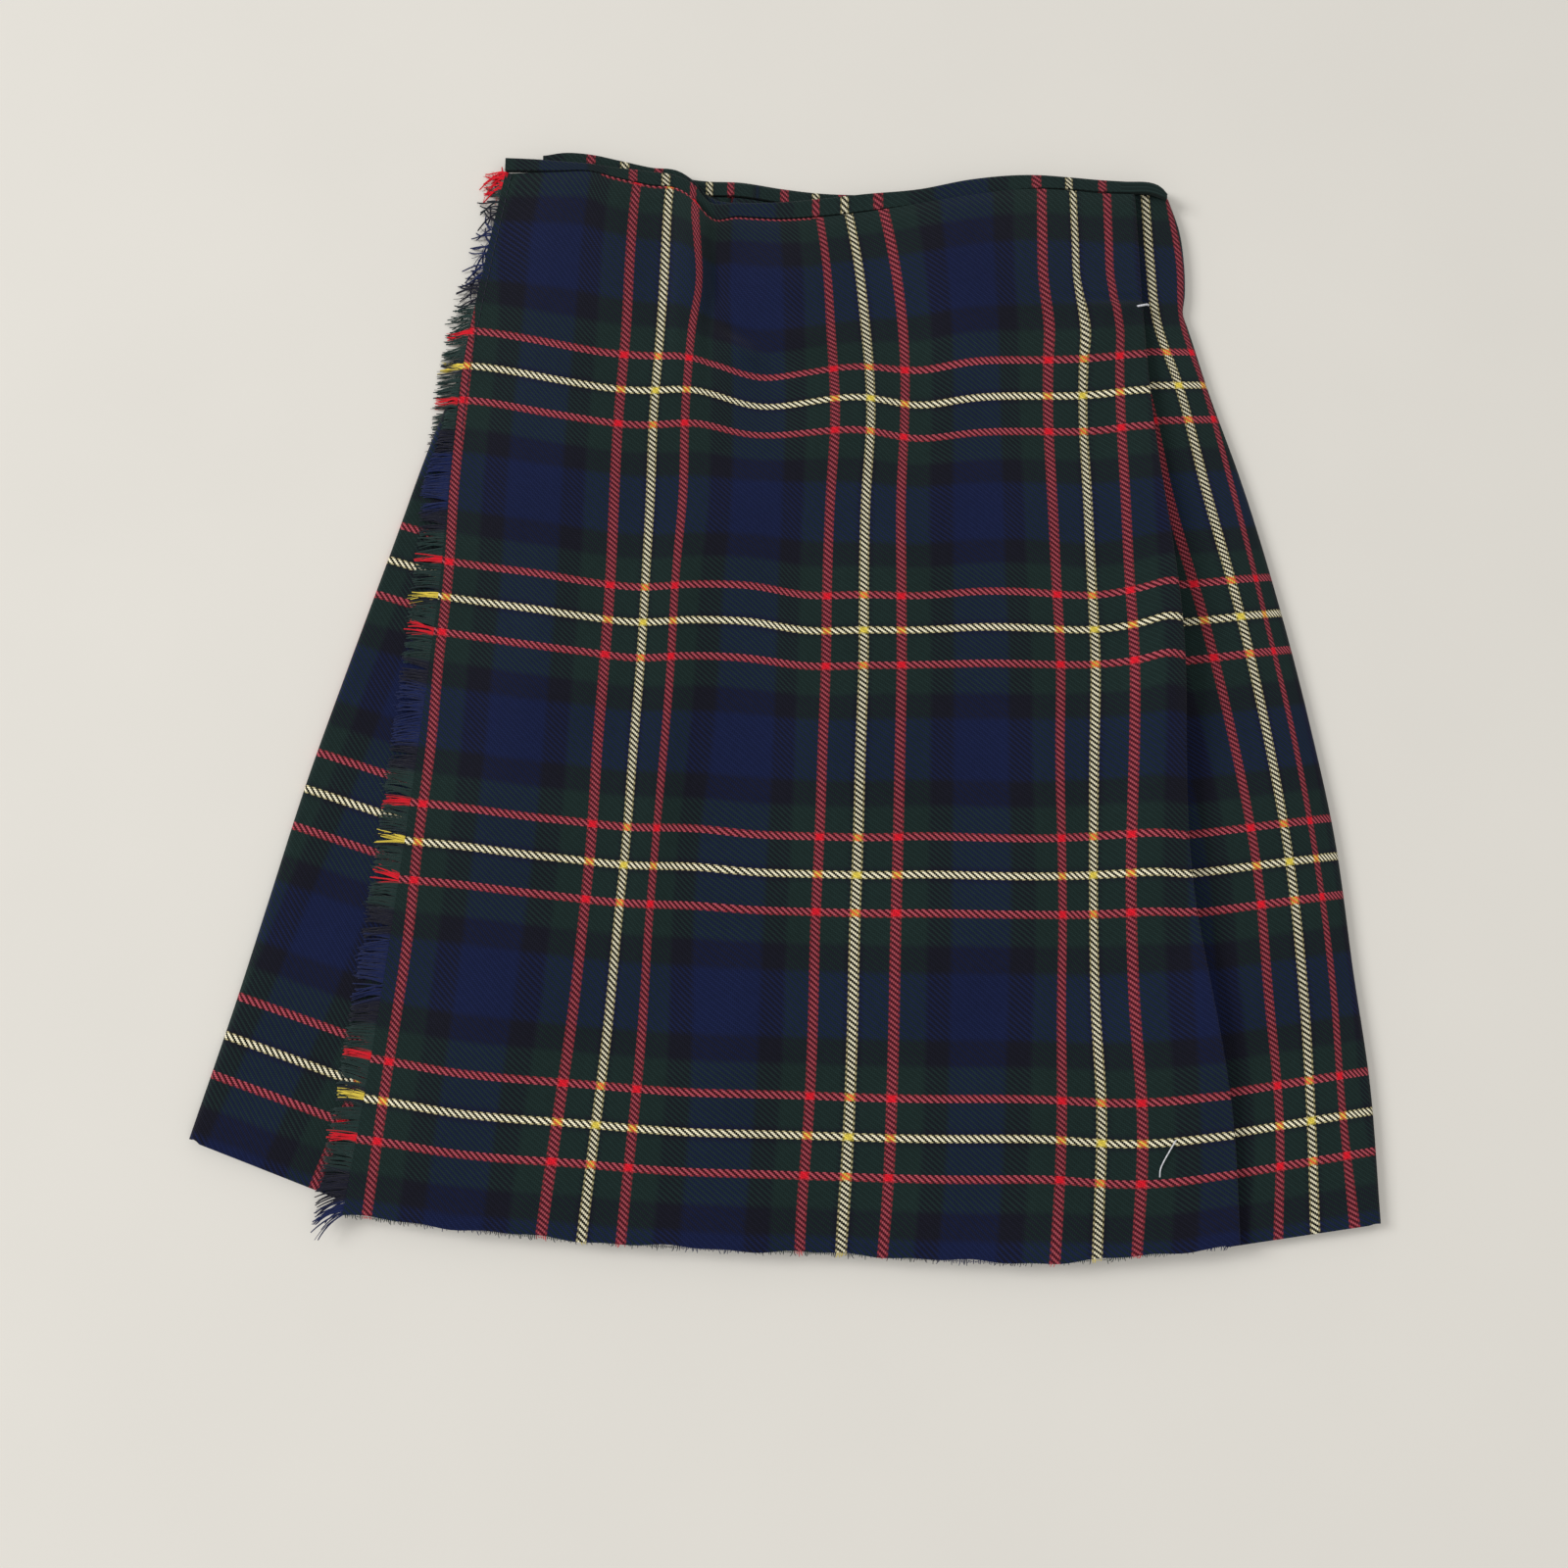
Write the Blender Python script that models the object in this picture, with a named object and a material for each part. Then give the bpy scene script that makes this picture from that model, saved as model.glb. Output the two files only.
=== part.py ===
"""A child's tartan wrap kilt laid flat, front up, as closed cloth walls.

Metres, +Z up. The waist points to +Y and the fringed edge of the over apron to -X.
The origin is at the middle of the kilt's footprint, on the surface that it lies on.
One length of cloth makes the aprons, side panels and pleats: it is cut here where
its hidden layers meet, with a seam gap between the pieces.
"""

from dataclasses import dataclass

import bpy
import numpy as np

MM = 0.001

# Cloth and how its layers lie, millimetres
CLOTH = 1.0            # wall of one layer of kilting twill
SEAM_GAP = 0.35        # air between layers and at seams
LAYER = CLOTH + SEAM_GAP
BAND = 2.2             # wall of a waistband strip, folded double
FRINGE_WALL = 1.2
FRINGE_REACH = 12.5
FRINGE_SEWN = 6.0      # width of the fringe strip that lies under the apron's edge

# Heights of the middle of each layer above the table
BACK_Z = CLOTH / 2
SIDE_Z = BACK_Z + 3 * LAYER
UNDER_Z = SIDE_Z + LAYER
RETURN_Z = UNDER_Z + LAYER
APRON_Z = RETURN_Z + LAYER
APRON_EDGE_Z = APRON_Z - 1.3      # the left edge, with no turned cloth under it
FRINGE_Z = UNDER_Z
UNDER_BAND_Z = SIDE_Z + (BAND - CLOTH) / 2
FRONT_BAND_Z = UNDER_BAND_Z + BAND + 0.4

# The tartan's repeat across the cloth sets the places of the yellow lines a, b and c
SETT = 97.6
LINE_KNOTS = (-86.0, 0.0, SETT, 2 * SETT, 238.0)

# Levels of the back and the side panels, as shares of the kilt's length
LEVELS = np.array([0.0, 0.06, 0.13, 0.22, 0.33, 0.47, 0.63, 0.81, 1.0])

# Knife pleats of the back
PLEATS = 14
FOLD_R = LAYER / 2
PLEAT_DEPTH_WAIST = 14.0
PLEAT_DEPTH_HEM = 27.0
SIDE_LEG = 8.0         # how far a side panel turns round under the kilt
RAMP_START = 1.0
RAMP_END = 4.6

# Smaller driving sizes
RETURN_WIDTH = 45.0    # cloth turned under at the apron's folded edge
UNDER_INSET_LEFT = 20.0
UNDER_INSET_RIGHT = 52.0
UNDER_INSET_HEM = 6.0
WAIST_REACH = 90.0     # how far down the cloth the waist's own curve is felt


@dataclass(frozen=True)
class ApronSection:
    """One level of the over apron: where its edge, yellow lines and fold lie."""

    down: float
    edge_x: float
    edge_y: float
    a_x: float
    a_y: float
    b_x: float
    b_y: float
    c_x: float
    c_y: float
    fold_x: float
    fold_y: float


APRON = (
    ApronSection(0.0, -121.0, 221.8, -46.2, 211.0, 30.8, 201.5, 128.1, 212.5, 152.5, 211.0),
    ApronSection(86.5, -135.8, 130.5, -52.8, 118.3, 36.8, 116.0, 127.8, 117.0, 154.8, 118.5),
    ApronSection(188.0, -142.0, 28.8, -56.5, 17.7, 33.5, 13.7, 127.8, 14.3, 163.3, 15.4),
    ApronSection(289.5, -151.0, -73.6, -61.5, -84.1, 30.0, -88.0, 123.9, -88.2, 165.9, -86.5),
    ApronSection(391.0, -162.0, -174.4, -71.2, -184.5, 25.5, -189.3, 123.0, -191.3, 172.5, -188.8),
    ApronSection(435.0, -168.0, -218.6, -76.2, -228.0, 22.6, -232.8, 119.8, -235.0, 173.4, -229.4),
)


@dataclass(frozen=True)
class SideSection:
    """One level of the kilt's outer folds, with the slant and width of its side panels."""

    share: float
    left_x: float
    left_y: float
    right_x: float
    right_y: float
    sag: float
    left_slant: float
    left_width: float
    right_slant: float
    right_width: float


SIDES = (
    SideSection(0.0, -106.0, 226.0, 169.6, 204.0, 0.0, 0.0, 60.0, 0.0, 34.0),
    SideSection(0.03, -110.2, 213.5, 173.4, 191.2, 0.5, 1.6, 63.3, -0.0, 35.5),
    SideSection(0.065, -115.1, 199.0, 174.8, 176.3, 1.2, 3.6, 67.3, -0.1, 37.0),
    SideSection(0.1, -120.0, 184.4, 174.4, 161.4, 1.8, 5.5, 71.1, -0.1, 38.7),
    SideSection(0.12, -122.8, 176.1, 173.2, 152.9, 2.2, 6.5, 73.2, -0.1, 39.9),
    SideSection(0.135, -124.9, 169.8, 175.0, 146.5, 2.5, 7.3, 74.6, -0.1, 40.9),
    SideSection(0.2, -134.2, 142.7, 182.0, 118.8, 3.9, 10.2, 80.0, 0.5, 47.0),
    SideSection(0.3, -148.5, 101.0, 193.6, 76.2, 6.3, 14.0, 86.0, 2.0, 58.0),
    SideSection(0.42, -163.3, 51.1, 205.3, 25.1, 9.3, 17.4, 89.5, 4.5, 64.6),
    SideSection(0.55, -179.7, -3.0, 216.1, -30.3, 12.5, 19.1, 90.7, 6.2, 70.8),
    SideSection(0.65, -192.0, -44.7, 222.8, -72.9, 15.0, 19.5, 90.0, 7.0, 74.0),
    SideSection(0.78, -205.9, -98.8, 226.9, -128.3, 18.4, 20.0, 88.0, 7.8, 74.2),
    SideSection(0.87, -215.5, -136.3, 230.0, -166.6, 20.3, 20.2, 83.7, 8.1, 70.9),
    SideSection(1.0, -230.5, -190.5, 230.5, -222.0, 22.0, 20.5, 72.0, 8.2, 61.0),
)


@dataclass(frozen=True)
class BandStation:
    """One place along the waist: seam height and band height of the three waistbands."""

    x: float
    front_seam: float
    front_band: float
    under_seam: float
    back_seam: float
    hidden_band: float


WAIST = (
    BandStation(-122.0, 221.8, 7.2, 224.0, 222.0, 8.0),
    BandStation(-104.0, 221.7, 6.3, 224.6, 223.0, 7.2),
    BandStation(-97.0, 221.7, 5.6, 224.8, 223.2, 8.2),
    BandStation(-84.0, 221.6, 4.6, 224.2, 222.8, 8.0),
    BandStation(-72.0, 218.4, 5.8, 221.4, 219.8, 8.0),
    BandStation(-58.0, 215.0, 7.4, 218.0, 216.6, 8.0),
    BandStation(-44.0, 212.3, 7.2, 215.4, 214.6, 8.0),
    BandStation(-38.5, 207.2, 8.8, 211.0, 213.8, 8.0),
    BandStation(-33.5, 200.2, 9.0, 205.0, 213.2, 8.0),
    BandStation(-19.0, 199.8, 7.6, 200.5, 212.6, 8.0),
    BandStation(0.0, 198.8, 8.8, 199.4, 209.4, 8.0),
    BandStation(15.0, 199.8, 9.2, 200.0, 207.4, 8.0),
    BandStation(36.0, 202.3, 9.2, 202.5, 206.4, 8.0),
    BandStation(60.0, 205.8, 8.1, 205.5, 205.8, 8.0),
    BandStation(82.0, 209.2, 9.3, 208.6, 207.8, 8.0),
    BandStation(110.0, 213.2, 7.5, 212.2, 211.4, 8.0),
    BandStation(126.0, 212.8, 6.7, 212.6, 212.2, 8.0),
    BandStation(138.0, 211.6, 6.7, 213.0, 212.8, 7.0),
    BandStation(150.0, 211.2, 6.3, 213.3, 213.2, 5.5),
    BandStation(161.0, 210.9, 6.0, 213.2, 213.0, 4.6),
    BandStation(169.0, 207.6, 6.0, 211.8, 211.4, 3.4),
)
BAND_RIGHT = 167.5


@dataclass(frozen=True)
class Swell:
    """A soft rise or dip of the over apron: its middle, half sizes, turn and height."""

    x: float
    y: float
    half_x: float
    half_y: float
    turn: float
    rise: float


SWELLS = (
    Swell(150.0, -70.0, 17.0, 150.0, 4.0, 4.2),
    Swell(150.0, 60.0, 13.0, 60.0, 0.0, 2.4),
    Swell(-36.0, 190.0, 9.0, 44.0, 3.0, 3.4),
    Swell(84.0, 176.0, 34.0, 60.0, -8.0, 3.4),
    Swell(-88.0, 150.0, 30.0, 80.0, 4.0, 2.2),
    Swell(-48.0, -30.0, 12.0, 110.0, 5.0, 1.8),
    Swell(70.0, -90.0, 40.0, 110.0, 0.0, 1.6),
    Swell(-110.0, -120.0, 26.0, 90.0, 8.0, 1.4),
)


def smooth_through(knots, values, at):
    """Read a smooth curve through (knot, value) pairs at the places given.

    Each stretch is a cubic whose end slopes are those of its neighbours' chords.
    """
    knots = np.asarray(knots, dtype=float)
    values = np.asarray(values, dtype=float)
    slopes = np.gradient(values, knots)
    cell = np.clip(np.searchsorted(knots, at, side="right") - 1, 0, len(knots) - 2)
    step = knots[cell + 1] - knots[cell]
    f = (at - knots[cell]) / step
    rise = (3 - 2 * f) * f * f
    ends = values[cell] * (1 - rise) + values[cell + 1] * rise
    leave = slopes[cell] * f * (1 - f) ** 2
    arrive = slopes[cell + 1] * f * f * (f - 1)
    return ends + step * (leave + arrive)


def column(rows, name):
    """One named column of a table."""
    return np.array([getattr(row, name) for row in rows])


def waist_line(name, x):
    """One column of the waist table read smoothly along the waist."""
    return smooth_through(column(WAIST, "x"), column(WAIST, name), x)


def lay_apron(down, across):
    """Places on the table of the over apron's cloth.

    Along each of the five named lines the cloth follows a smooth curve down the
    apron; across it, each level is a smooth curve through those five places. Near the
    waist it bends into the curve of the waist seam.
    """
    marks = column(APRON, "down")
    names = ("edge", "a", "b", "c", "fold")
    levels = np.concatenate([[0.0], down])
    place = np.zeros((len(levels), len(across), 2))
    for axis, letter in enumerate("xy"):
        lines = [smooth_through(marks, column(APRON, f"{n}_{letter}"), levels) for n in names]
        for row, five in enumerate(zip(*lines)):
            place[row, :, axis] = smooth_through(LINE_KNOTS, five, across)
    bend = waist_line("front_seam", place[:1, :, 0]) - place[:1, :, 1]
    fade = np.clip(1 - down / WAIST_REACH, 0, 1)[:, None] ** 2
    place = place[1:]
    place[..., 1] += bend * fade
    return place


def apron_height(x, y):
    """Height of the over apron's middle: flat, lower at its left edge, plus its swells."""
    left = smooth_through(column(APRON, "edge_y")[::-1], column(APRON, "edge_x")[::-1], y)
    inward = np.clip((x - left) / 30.0, 0, 1)
    height = APRON_EDGE_Z + (APRON_Z - APRON_EDGE_Z) * inward
    for swell in SWELLS:
        turn = np.radians(swell.turn)
        along = (x - swell.x) * np.sin(turn) + (y - swell.y) * np.cos(turn)
        beside = (x - swell.x) * np.cos(turn) - (y - swell.y) * np.sin(turn)
        height += swell.rise * np.exp(-(beside / swell.half_x) ** 2 - (along / swell.half_y) ** 2)
    return height


def across_normals(path):
    """Unit normals of open paths (rows, points, 3) that bend in upright planes.

    A corner's normal is lengthened so that both walls beside it keep their thickness.
    """
    chords = np.diff(path, axis=1)
    level = np.linalg.norm(chords[..., :2], axis=-1)
    heading = path[:, -1, :2] - path[:, 0, :2]
    sign = np.sign((chords[..., :2] * heading[:, None, :]).sum(-1))
    run = level * np.where(sign == 0, 1, sign)
    length = np.hypot(run, chords[..., 2])
    flat = np.stack([-chords[..., 2] / length, run / length], axis=-1)
    before = np.concatenate([flat[:, :1], flat], axis=1)
    after = np.concatenate([flat, flat[:, -1:]], axis=1)
    mean = before + after
    mean /= np.linalg.norm(mean, axis=-1, keepdims=True)
    mean /= np.clip((mean * after).sum(-1), 0.5, 1)[..., None]
    unit = heading / np.linalg.norm(heading, axis=-1, keepdims=True)
    return np.concatenate([mean[..., :1] * unit[:, None, :], mean[..., 1:]], axis=-1)


def cloth_wall(name, middle, thickness, finish, normals=None):
    """Make a closed wall round a grid of middle points, in millimetres.

    The grid is moved out by half the thickness on each side and its rim is closed.
    """
    if normals is None:
        normals = np.broadcast_to(np.array([0.0, 0.0, 1.0]), middle.shape)
    outer = middle + normals * thickness / 2
    inner = middle - normals * thickness / 2
    rows, cols = middle.shape[:2]
    points = np.concatenate([outer.reshape(-1, 3), inner.reshape(-1, 3)]) * MM
    index = np.arange(rows * cols).reshape(rows, cols)
    far = rows * cols
    cells = np.stack([index[:-1, :-1], index[1:, :-1], index[1:, 1:], index[:-1, 1:]], -1).reshape(-1, 4)
    ring = np.concatenate([index[0, :-1], index[:-1, -1], index[-1, :0:-1], index[:0:-1, 0]])
    after = np.roll(ring, -1)
    rim = np.stack([ring, after, after + far, ring + far], -1)
    faces = np.concatenate([cells, cells[:, ::-1] + far, rim])
    mesh = bpy.data.meshes.new(name)
    mesh.from_pydata(points.tolist(), [], faces.tolist())
    mesh.update()
    mesh.materials.append(finish)
    made = bpy.data.objects.new(name, mesh)
    bpy.context.collection.objects.link(made)
    return made


def wool(name, red, green, blue):
    """A matt wool twill finish in one of the tartan's ground colours."""
    finish = bpy.data.materials.new(name)
    finish.use_nodes = True
    shader = finish.node_tree.nodes["Principled BSDF"]
    shader.inputs["Base Color"].default_value = (red, green, blue, 1)
    shader.inputs["Roughness"].default_value = 0.9
    shader.inputs["Metallic"].default_value = 0.0
    return finish


def sections_at(shares):
    """The side table read smoothly at the shares of the length given."""
    marks = column(SIDES, "share")
    names = list(SideSection.__dataclass_fields__)[1:]
    return {n: smooth_through(marks, column(SIDES, n), shares) for n in names}


def back_line(side, fraction, shares):
    """Places on the table of the back: straight between the outer folds, sagging midway.

    Towards the waist the line bends into the waist's own curve.
    """
    x = side["left_x"][:, None] * (1 - fraction) + side["right_x"][:, None] * fraction
    y = side["left_y"][:, None] * (1 - fraction) + side["right_y"][:, None] * fraction
    y = y - 4 * side["sag"][:, None] * fraction * (1 - fraction)
    chord = side["left_y"][0] * (1 - fraction) + side["right_y"][0] * fraction
    waist = waist_line("back_seam", x) - SEAM_GAP
    return x, y + (waist - chord) * (1 - shares[:, None]) ** 4


def pleated_back(finish):
    """The back: knife pleats that fan out from waist to hem, one continuous folded wall.

    Each pleat runs flat along the table, turns up and back over itself, turns up again
    and comes forward, and ramps down past its own fold to start the next.
    """
    shares = LEVELS
    side = sections_at(shares)
    depth = PLEAT_DEPTH_WAIST + (PLEAT_DEPTH_HEM - PLEAT_DEPTH_WAIST) * shares
    left = side["left_x"] + SIDE_LEG + SEAM_GAP
    right = side["right_x"] - SIDE_LEG - SEAM_GAP
    pitch = (right - left) / PLEATS
    x_parts = []
    z_parts = []
    for pleat in range(PLEATS):
        start = left + pleat * pitch
        fold = start + pitch - FOLD_R - CLOTH / 2
        first = 0.0 if pleat == 0 else RAMP_END - 2 * FOLD_R
        x_parts.append(start + first)
        z_parts.append(0)
        if pleat == PLEATS - 1:
            x_parts.append(start + pitch)
            z_parts.append(0)
            continue
        x_parts += [fold, fold + FOLD_R, fold, fold - depth, fold - depth - FOLD_R, fold - depth]
        z_parts += [0, 0.5, 1, 1, 1.5, 2]
        x_parts.append(fold + RAMP_START)
        z_parts.append(2)
    x = np.stack(x_parts, axis=1)
    z = BACK_Z + LAYER * np.array(z_parts)
    width = (side["right_x"] - side["left_x"])[:, None]
    fraction = (x - side["left_x"][:, None]) / width
    x, y = back_line(side, fraction, shares)
    middle = np.stack([x, y, np.broadcast_to(z, x.shape)], axis=-1)
    return cloth_wall("back_pleats", middle, CLOTH, finish, across_normals(middle))


def side_panel(name, hand, finish):
    """A side panel: from under the over apron out to the kilt's edge, round it, and under.

    hand is -1 for the left panel and 1 for the right one.
    """
    shares = LEVELS
    side = sections_at(shares)
    prefix = "left" if hand < 0 else "right"
    turn = np.linspace(0, np.pi, 5)
    radius = (SIDE_Z - BACK_Z) / 2
    out = CLOTH / 2 + radius
    width = side[f"{prefix}_width"][:, None]
    upper = out + (width - out) * np.array([1.0, 0.66, 0.33])
    bend = np.broadcast_to(out - radius * np.sin(turn), (len(shares), len(turn)))
    lower = np.full((len(shares), 1), SIDE_LEG)
    inward = np.concatenate([upper, bend, lower], axis=1)
    z = np.concatenate([[SIDE_Z] * 3, BACK_Z + radius * (1 + np.cos(turn)), [BACK_Z]])
    slant = np.radians(side[f"{prefix}_slant"])[:, None] * np.clip(inward / out - 1, 0, 1)
    x = side[f"{prefix}_x"][:, None] - hand * inward * np.cos(slant)
    y = side[f"{prefix}_y"][:, None] - inward * np.sin(slant)
    waist = np.minimum(waist_line("back_seam", x), waist_line("under_seam", x)) - SEAM_GAP
    y += (waist - side[f"{prefix}_y"][0]) * (1 - shares[:, None]) ** 4
    middle = np.stack([x, y, np.broadcast_to(z, x.shape)], axis=-1)
    if hand < 0:
        middle = middle[:, ::-1]
    return cloth_wall(name, middle, CLOTH, finish, across_normals(middle))


def over_apron(finish):
    """The over apron, with the cloth turned under at its folded right edge."""
    down = np.linspace(0, 435.0, 21)
    across = np.concatenate([np.linspace(LINE_KNOTS[0], 225.0, 22), [LINE_KNOTS[-1]]])
    place = lay_apron(down, across)
    top = apron_height(place[..., 0], place[..., 1])
    fold = place[:, -1:]
    back = np.array([-8.0, -RETURN_WIDTH / 2, -RETURN_WIDTH])
    turned = np.repeat(fold, len(back), axis=1)
    turned[..., 0] += back
    turned[..., 1] += 0.02 * back
    turned_z = apron_height(turned[..., 0], turned[..., 1]) - LAYER
    bend = fold + np.array([FOLD_R, 0.0])
    place = np.concatenate([place[:, :-1], place[:, -1:] - [2.0, 0], bend, turned], axis=1)
    edge_z = top[:, -1:]
    height = np.concatenate([top[:, :-1], edge_z, edge_z - LAYER / 2, turned_z], axis=1)
    middle = np.concatenate([place, height[..., None]], axis=-1)
    return cloth_wall("over_apron", middle, CLOTH, finish, across_normals(middle))


def fringe(finish):
    """The fringe strip: a flat wall of the threads' reach, sewn under the apron's edge."""
    down = np.linspace(0, 435.0, 25)
    edge = lay_apron(down, np.array([LINE_KNOTS[0]]))[:, 0]
    inward = np.array([-FRINGE_REACH, -FRINGE_REACH / 2, 0.0, FRINGE_SEWN])
    x = edge[:, :1] + inward
    y = edge[:, 1:] + 0.02 * inward
    z = np.full_like(x, FRINGE_Z)
    return cloth_wall("apron_fringe", np.stack([x, y, z], axis=-1), FRINGE_WALL, finish)


def under_apron(finish):
    """The under apron: a plain panel hidden by the over apron."""
    share = np.linspace(0, 1, 9)
    left = sections_at(share)
    down = 435.0 * share
    place = lay_apron(down, np.array([LINE_KNOTS[0], LINE_KNOTS[-1]]))
    start = np.maximum(place[:, 0, 0] + UNDER_INSET_LEFT, left["left_x"] + 12.0)
    stop = place[:, 1, 0] - UNDER_INSET_RIGHT
    fraction = np.linspace(0, 1, 21)
    x = start[:, None] * (1 - fraction) + stop[:, None] * fraction
    hem = lay_apron(np.array([435.0]), np.linspace(-66.0, 186.0, 21))[0, :, 1] + UNDER_INSET_HEM
    top = waist_line("under_seam", x[0]) - 3 * SEAM_GAP
    y = top * (1 - share[:, None]) + hem * share[:, None]
    middle = np.stack([x, y, np.full_like(x, UNDER_Z)], axis=-1)
    return cloth_wall("under_apron", middle, CLOTH, finish)


def waistband(name, x, seam, height, middle_z, thickness, finish):
    """A waistband strip that stands above a seam line, both ends square."""
    rise = np.array([1.0, 0.5, 0.0])[:, None]
    y = seam + SEAM_GAP + rise * (height - SEAM_GAP)
    middle = np.stack([np.broadcast_to(x, y.shape), y, np.full(y.shape, middle_z)], axis=-1)
    return cloth_wall(name, middle, thickness, finish)


def waistbands(finish):
    """The bands of the over apron, of the hidden front layers and of the back."""
    across = np.linspace(LINE_KNOTS[0], LINE_KNOTS[-1], 34)
    x = np.concatenate([lay_apron(np.array([0.0]), across)[0, :, 0], [BAND_RIGHT]])
    seam = waist_line("front_seam", x)
    height = waist_line("front_band", x)
    made = [waistband("waistband_front", x, seam, height, FRONT_BAND_Z, BAND, finish)]
    x = np.linspace(-105.0, BAND_RIGHT - 2.0, 24)
    under = waist_line("under_seam", x)
    height = waist_line("hidden_band", x)
    made.append(waistband("waistband_under", x, under, height, UNDER_BAND_Z, BAND, finish))
    x = np.linspace(-101.0, BAND_RIGHT - 1.0, 24)
    back = waist_line("back_seam", x)
    thick = 3 * LAYER - SEAM_GAP
    height = waist_line("hidden_band", x)
    made.append(waistband("waistband_back", x, back, height, thick / 2, thick, finish))
    return made


def main():
    """Clear the scene and make every piece of the kilt."""
    for old in list(bpy.data.objects):
        bpy.data.objects.remove(old, do_unlink=True)
    tartan = wool("tartan_wool_twill", 0.012, 0.016, 0.038)
    green = wool("green_wool_twill", 0.011, 0.024, 0.021)
    threads = wool("fringed_wool_threads", 0.016, 0.020, 0.045)
    pleated_back(tartan)
    side_panel("side_panel_left", -1, tartan)
    side_panel("side_panel_right", 1, tartan)
    under_apron(tartan)
    over_apron(tartan)
    fringe(threads)
    waistbands(green)


main()
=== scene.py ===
"""A child's tartan wrap kilt laid flat, front up: its cloth, fringe, bands and stitches.

Sizes are in millimetres until a mesh is made. The waist points to +Y, the fringed edge
of the over apron to -X, and the table is at z = 0. Every stretch of cloth is a thin wall
round a grid of middle points. Each point also knows its place in the flat cloth, as
millimetres across and down, and the tartan is drawn from that, so it follows the folds.
"""

import logging
from dataclasses import dataclass, field
from enum import Enum

import bpy
import numpy as np
from numpy.typing import NDArray
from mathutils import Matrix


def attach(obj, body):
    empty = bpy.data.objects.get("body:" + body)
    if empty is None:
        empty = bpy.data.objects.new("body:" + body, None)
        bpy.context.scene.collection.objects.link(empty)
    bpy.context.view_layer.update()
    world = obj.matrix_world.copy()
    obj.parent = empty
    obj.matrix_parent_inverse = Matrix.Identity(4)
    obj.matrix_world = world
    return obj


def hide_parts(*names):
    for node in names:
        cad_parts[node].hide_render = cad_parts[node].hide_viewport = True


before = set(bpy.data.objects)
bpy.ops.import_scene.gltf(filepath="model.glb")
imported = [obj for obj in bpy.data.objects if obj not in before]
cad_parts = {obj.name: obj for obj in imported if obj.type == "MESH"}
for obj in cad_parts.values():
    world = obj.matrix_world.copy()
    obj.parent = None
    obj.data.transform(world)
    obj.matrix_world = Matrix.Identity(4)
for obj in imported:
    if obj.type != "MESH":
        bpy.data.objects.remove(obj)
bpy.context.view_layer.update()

LOG = logging.getLogger("kilt")
Array = NDArray[np.float64]

MM = 0.001
CLOTH = 1.0            # wall of one layer of kilting twill
SEAM_GAP = 0.35        # air between layers and at seams
LAYER = CLOTH + SEAM_GAP
BAND = 2.2             # a waistband strip, folded double

# Heights of the middle of each layer above the table
BACK_Z = CLOTH / 2
SIDE_Z = BACK_Z + 3 * LAYER
UNDER_Z = SIDE_Z + LAYER
RETURN_Z = UNDER_Z + LAYER
APRON_Z = RETURN_Z + LAYER
APRON_EDGE_Z = APRON_Z - 1.3
UNDER_BAND_Z = SIDE_Z + (BAND - CLOTH) / 2
FRONT_BAND_Z = UNDER_BAND_Z + BAND + 0.4

SETT_ACROSS = 97.6     # one repeat of the tartan across the cloth
SETT_DOWN = 101.5      # one repeat down the cloth
FIRST_LINE = 86.5      # the first yellow weft line, from the waist seam
HEM = 435.0            # the raw hem, from the waist seam


# ---------------------------------------------------------------- shared arithmetic

def smooth_through(knots: Array, values: Array, at: Array) -> Array:
    """Read a smooth curve through (knot, value) pairs.

    Each stretch is a cubic whose end slopes are those of its neighbours' chords.

    Args:
        knots: rising places, one for each row of values.
        values: one row for each knot, of any further shape.
        at: places to read, in one dimension where values has more than one.

    Returns:
        The curve's values, one row for each place.
    """
    knots = np.asarray(knots, dtype=float)
    values = np.asarray(values, dtype=float)
    slopes = np.gradient(values, knots, axis=0)
    cell = np.clip(np.searchsorted(knots, at, side="right") - 1, 0, len(knots) - 2)
    step = knots[cell + 1] - knots[cell]
    f = (at - knots[cell]) / step
    if values.ndim > 1:
        f = f[:, None]
        step = step[:, None]
    rise = (3 - 2 * f) * f * f
    ends = values[cell] * (1 - rise) + values[cell + 1] * rise
    leave = slopes[cell] * f * (1 - f) ** 2
    arrive = slopes[cell + 1] * f * f * (f - 1)
    return ends + step * (leave + arrive)


def column(rows: tuple, name: str) -> Array:
    """One named column of a table of dataclass rows."""
    return np.array([getattr(row, name) for row in rows], dtype=float)


def ease(f: Array) -> Array:
    """A soft step: 0 up to f = 0, 1 from f = 1, and 3f^2 - 2f^3 between."""
    f = np.clip(f, 0, 1)
    return f * f * (3 - 2 * f)


@dataclass(frozen=True)
class Spot:
    """A soft elongated place on the kilt, strongest in its middle.

    Its strength falls off as exp(-(beside/half_x)^2 - (along/half_y)^2), where along
    and beside are distances in a frame turned by turn degrees from +Y towards +X.
    rise lifts the cloth. across and down say how far the cloth has slipped there.
    """

    x: float
    y: float
    half_x: float
    half_y: float
    turn: float = 0.0
    rise: float = 0.0
    across: float = 0.0
    down: float = 0.0

    def strength(self, x: Array, y: Array) -> Array:
        """The spot's strength at each place, from 0 to 1.

        Args:
            x: across the kilt, mm.
            y: up the kilt, mm.

        Returns:
            The strength at each place.
        """
        turn = np.radians(self.turn)
        along = (x - self.x) * np.sin(turn) + (y - self.y) * np.cos(turn)
        beside = (x - self.x) * np.cos(turn) - (y - self.y) * np.sin(turn)
        return np.exp(-(beside / self.half_x) ** 2 - (along / self.half_y) ** 2)


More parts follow.
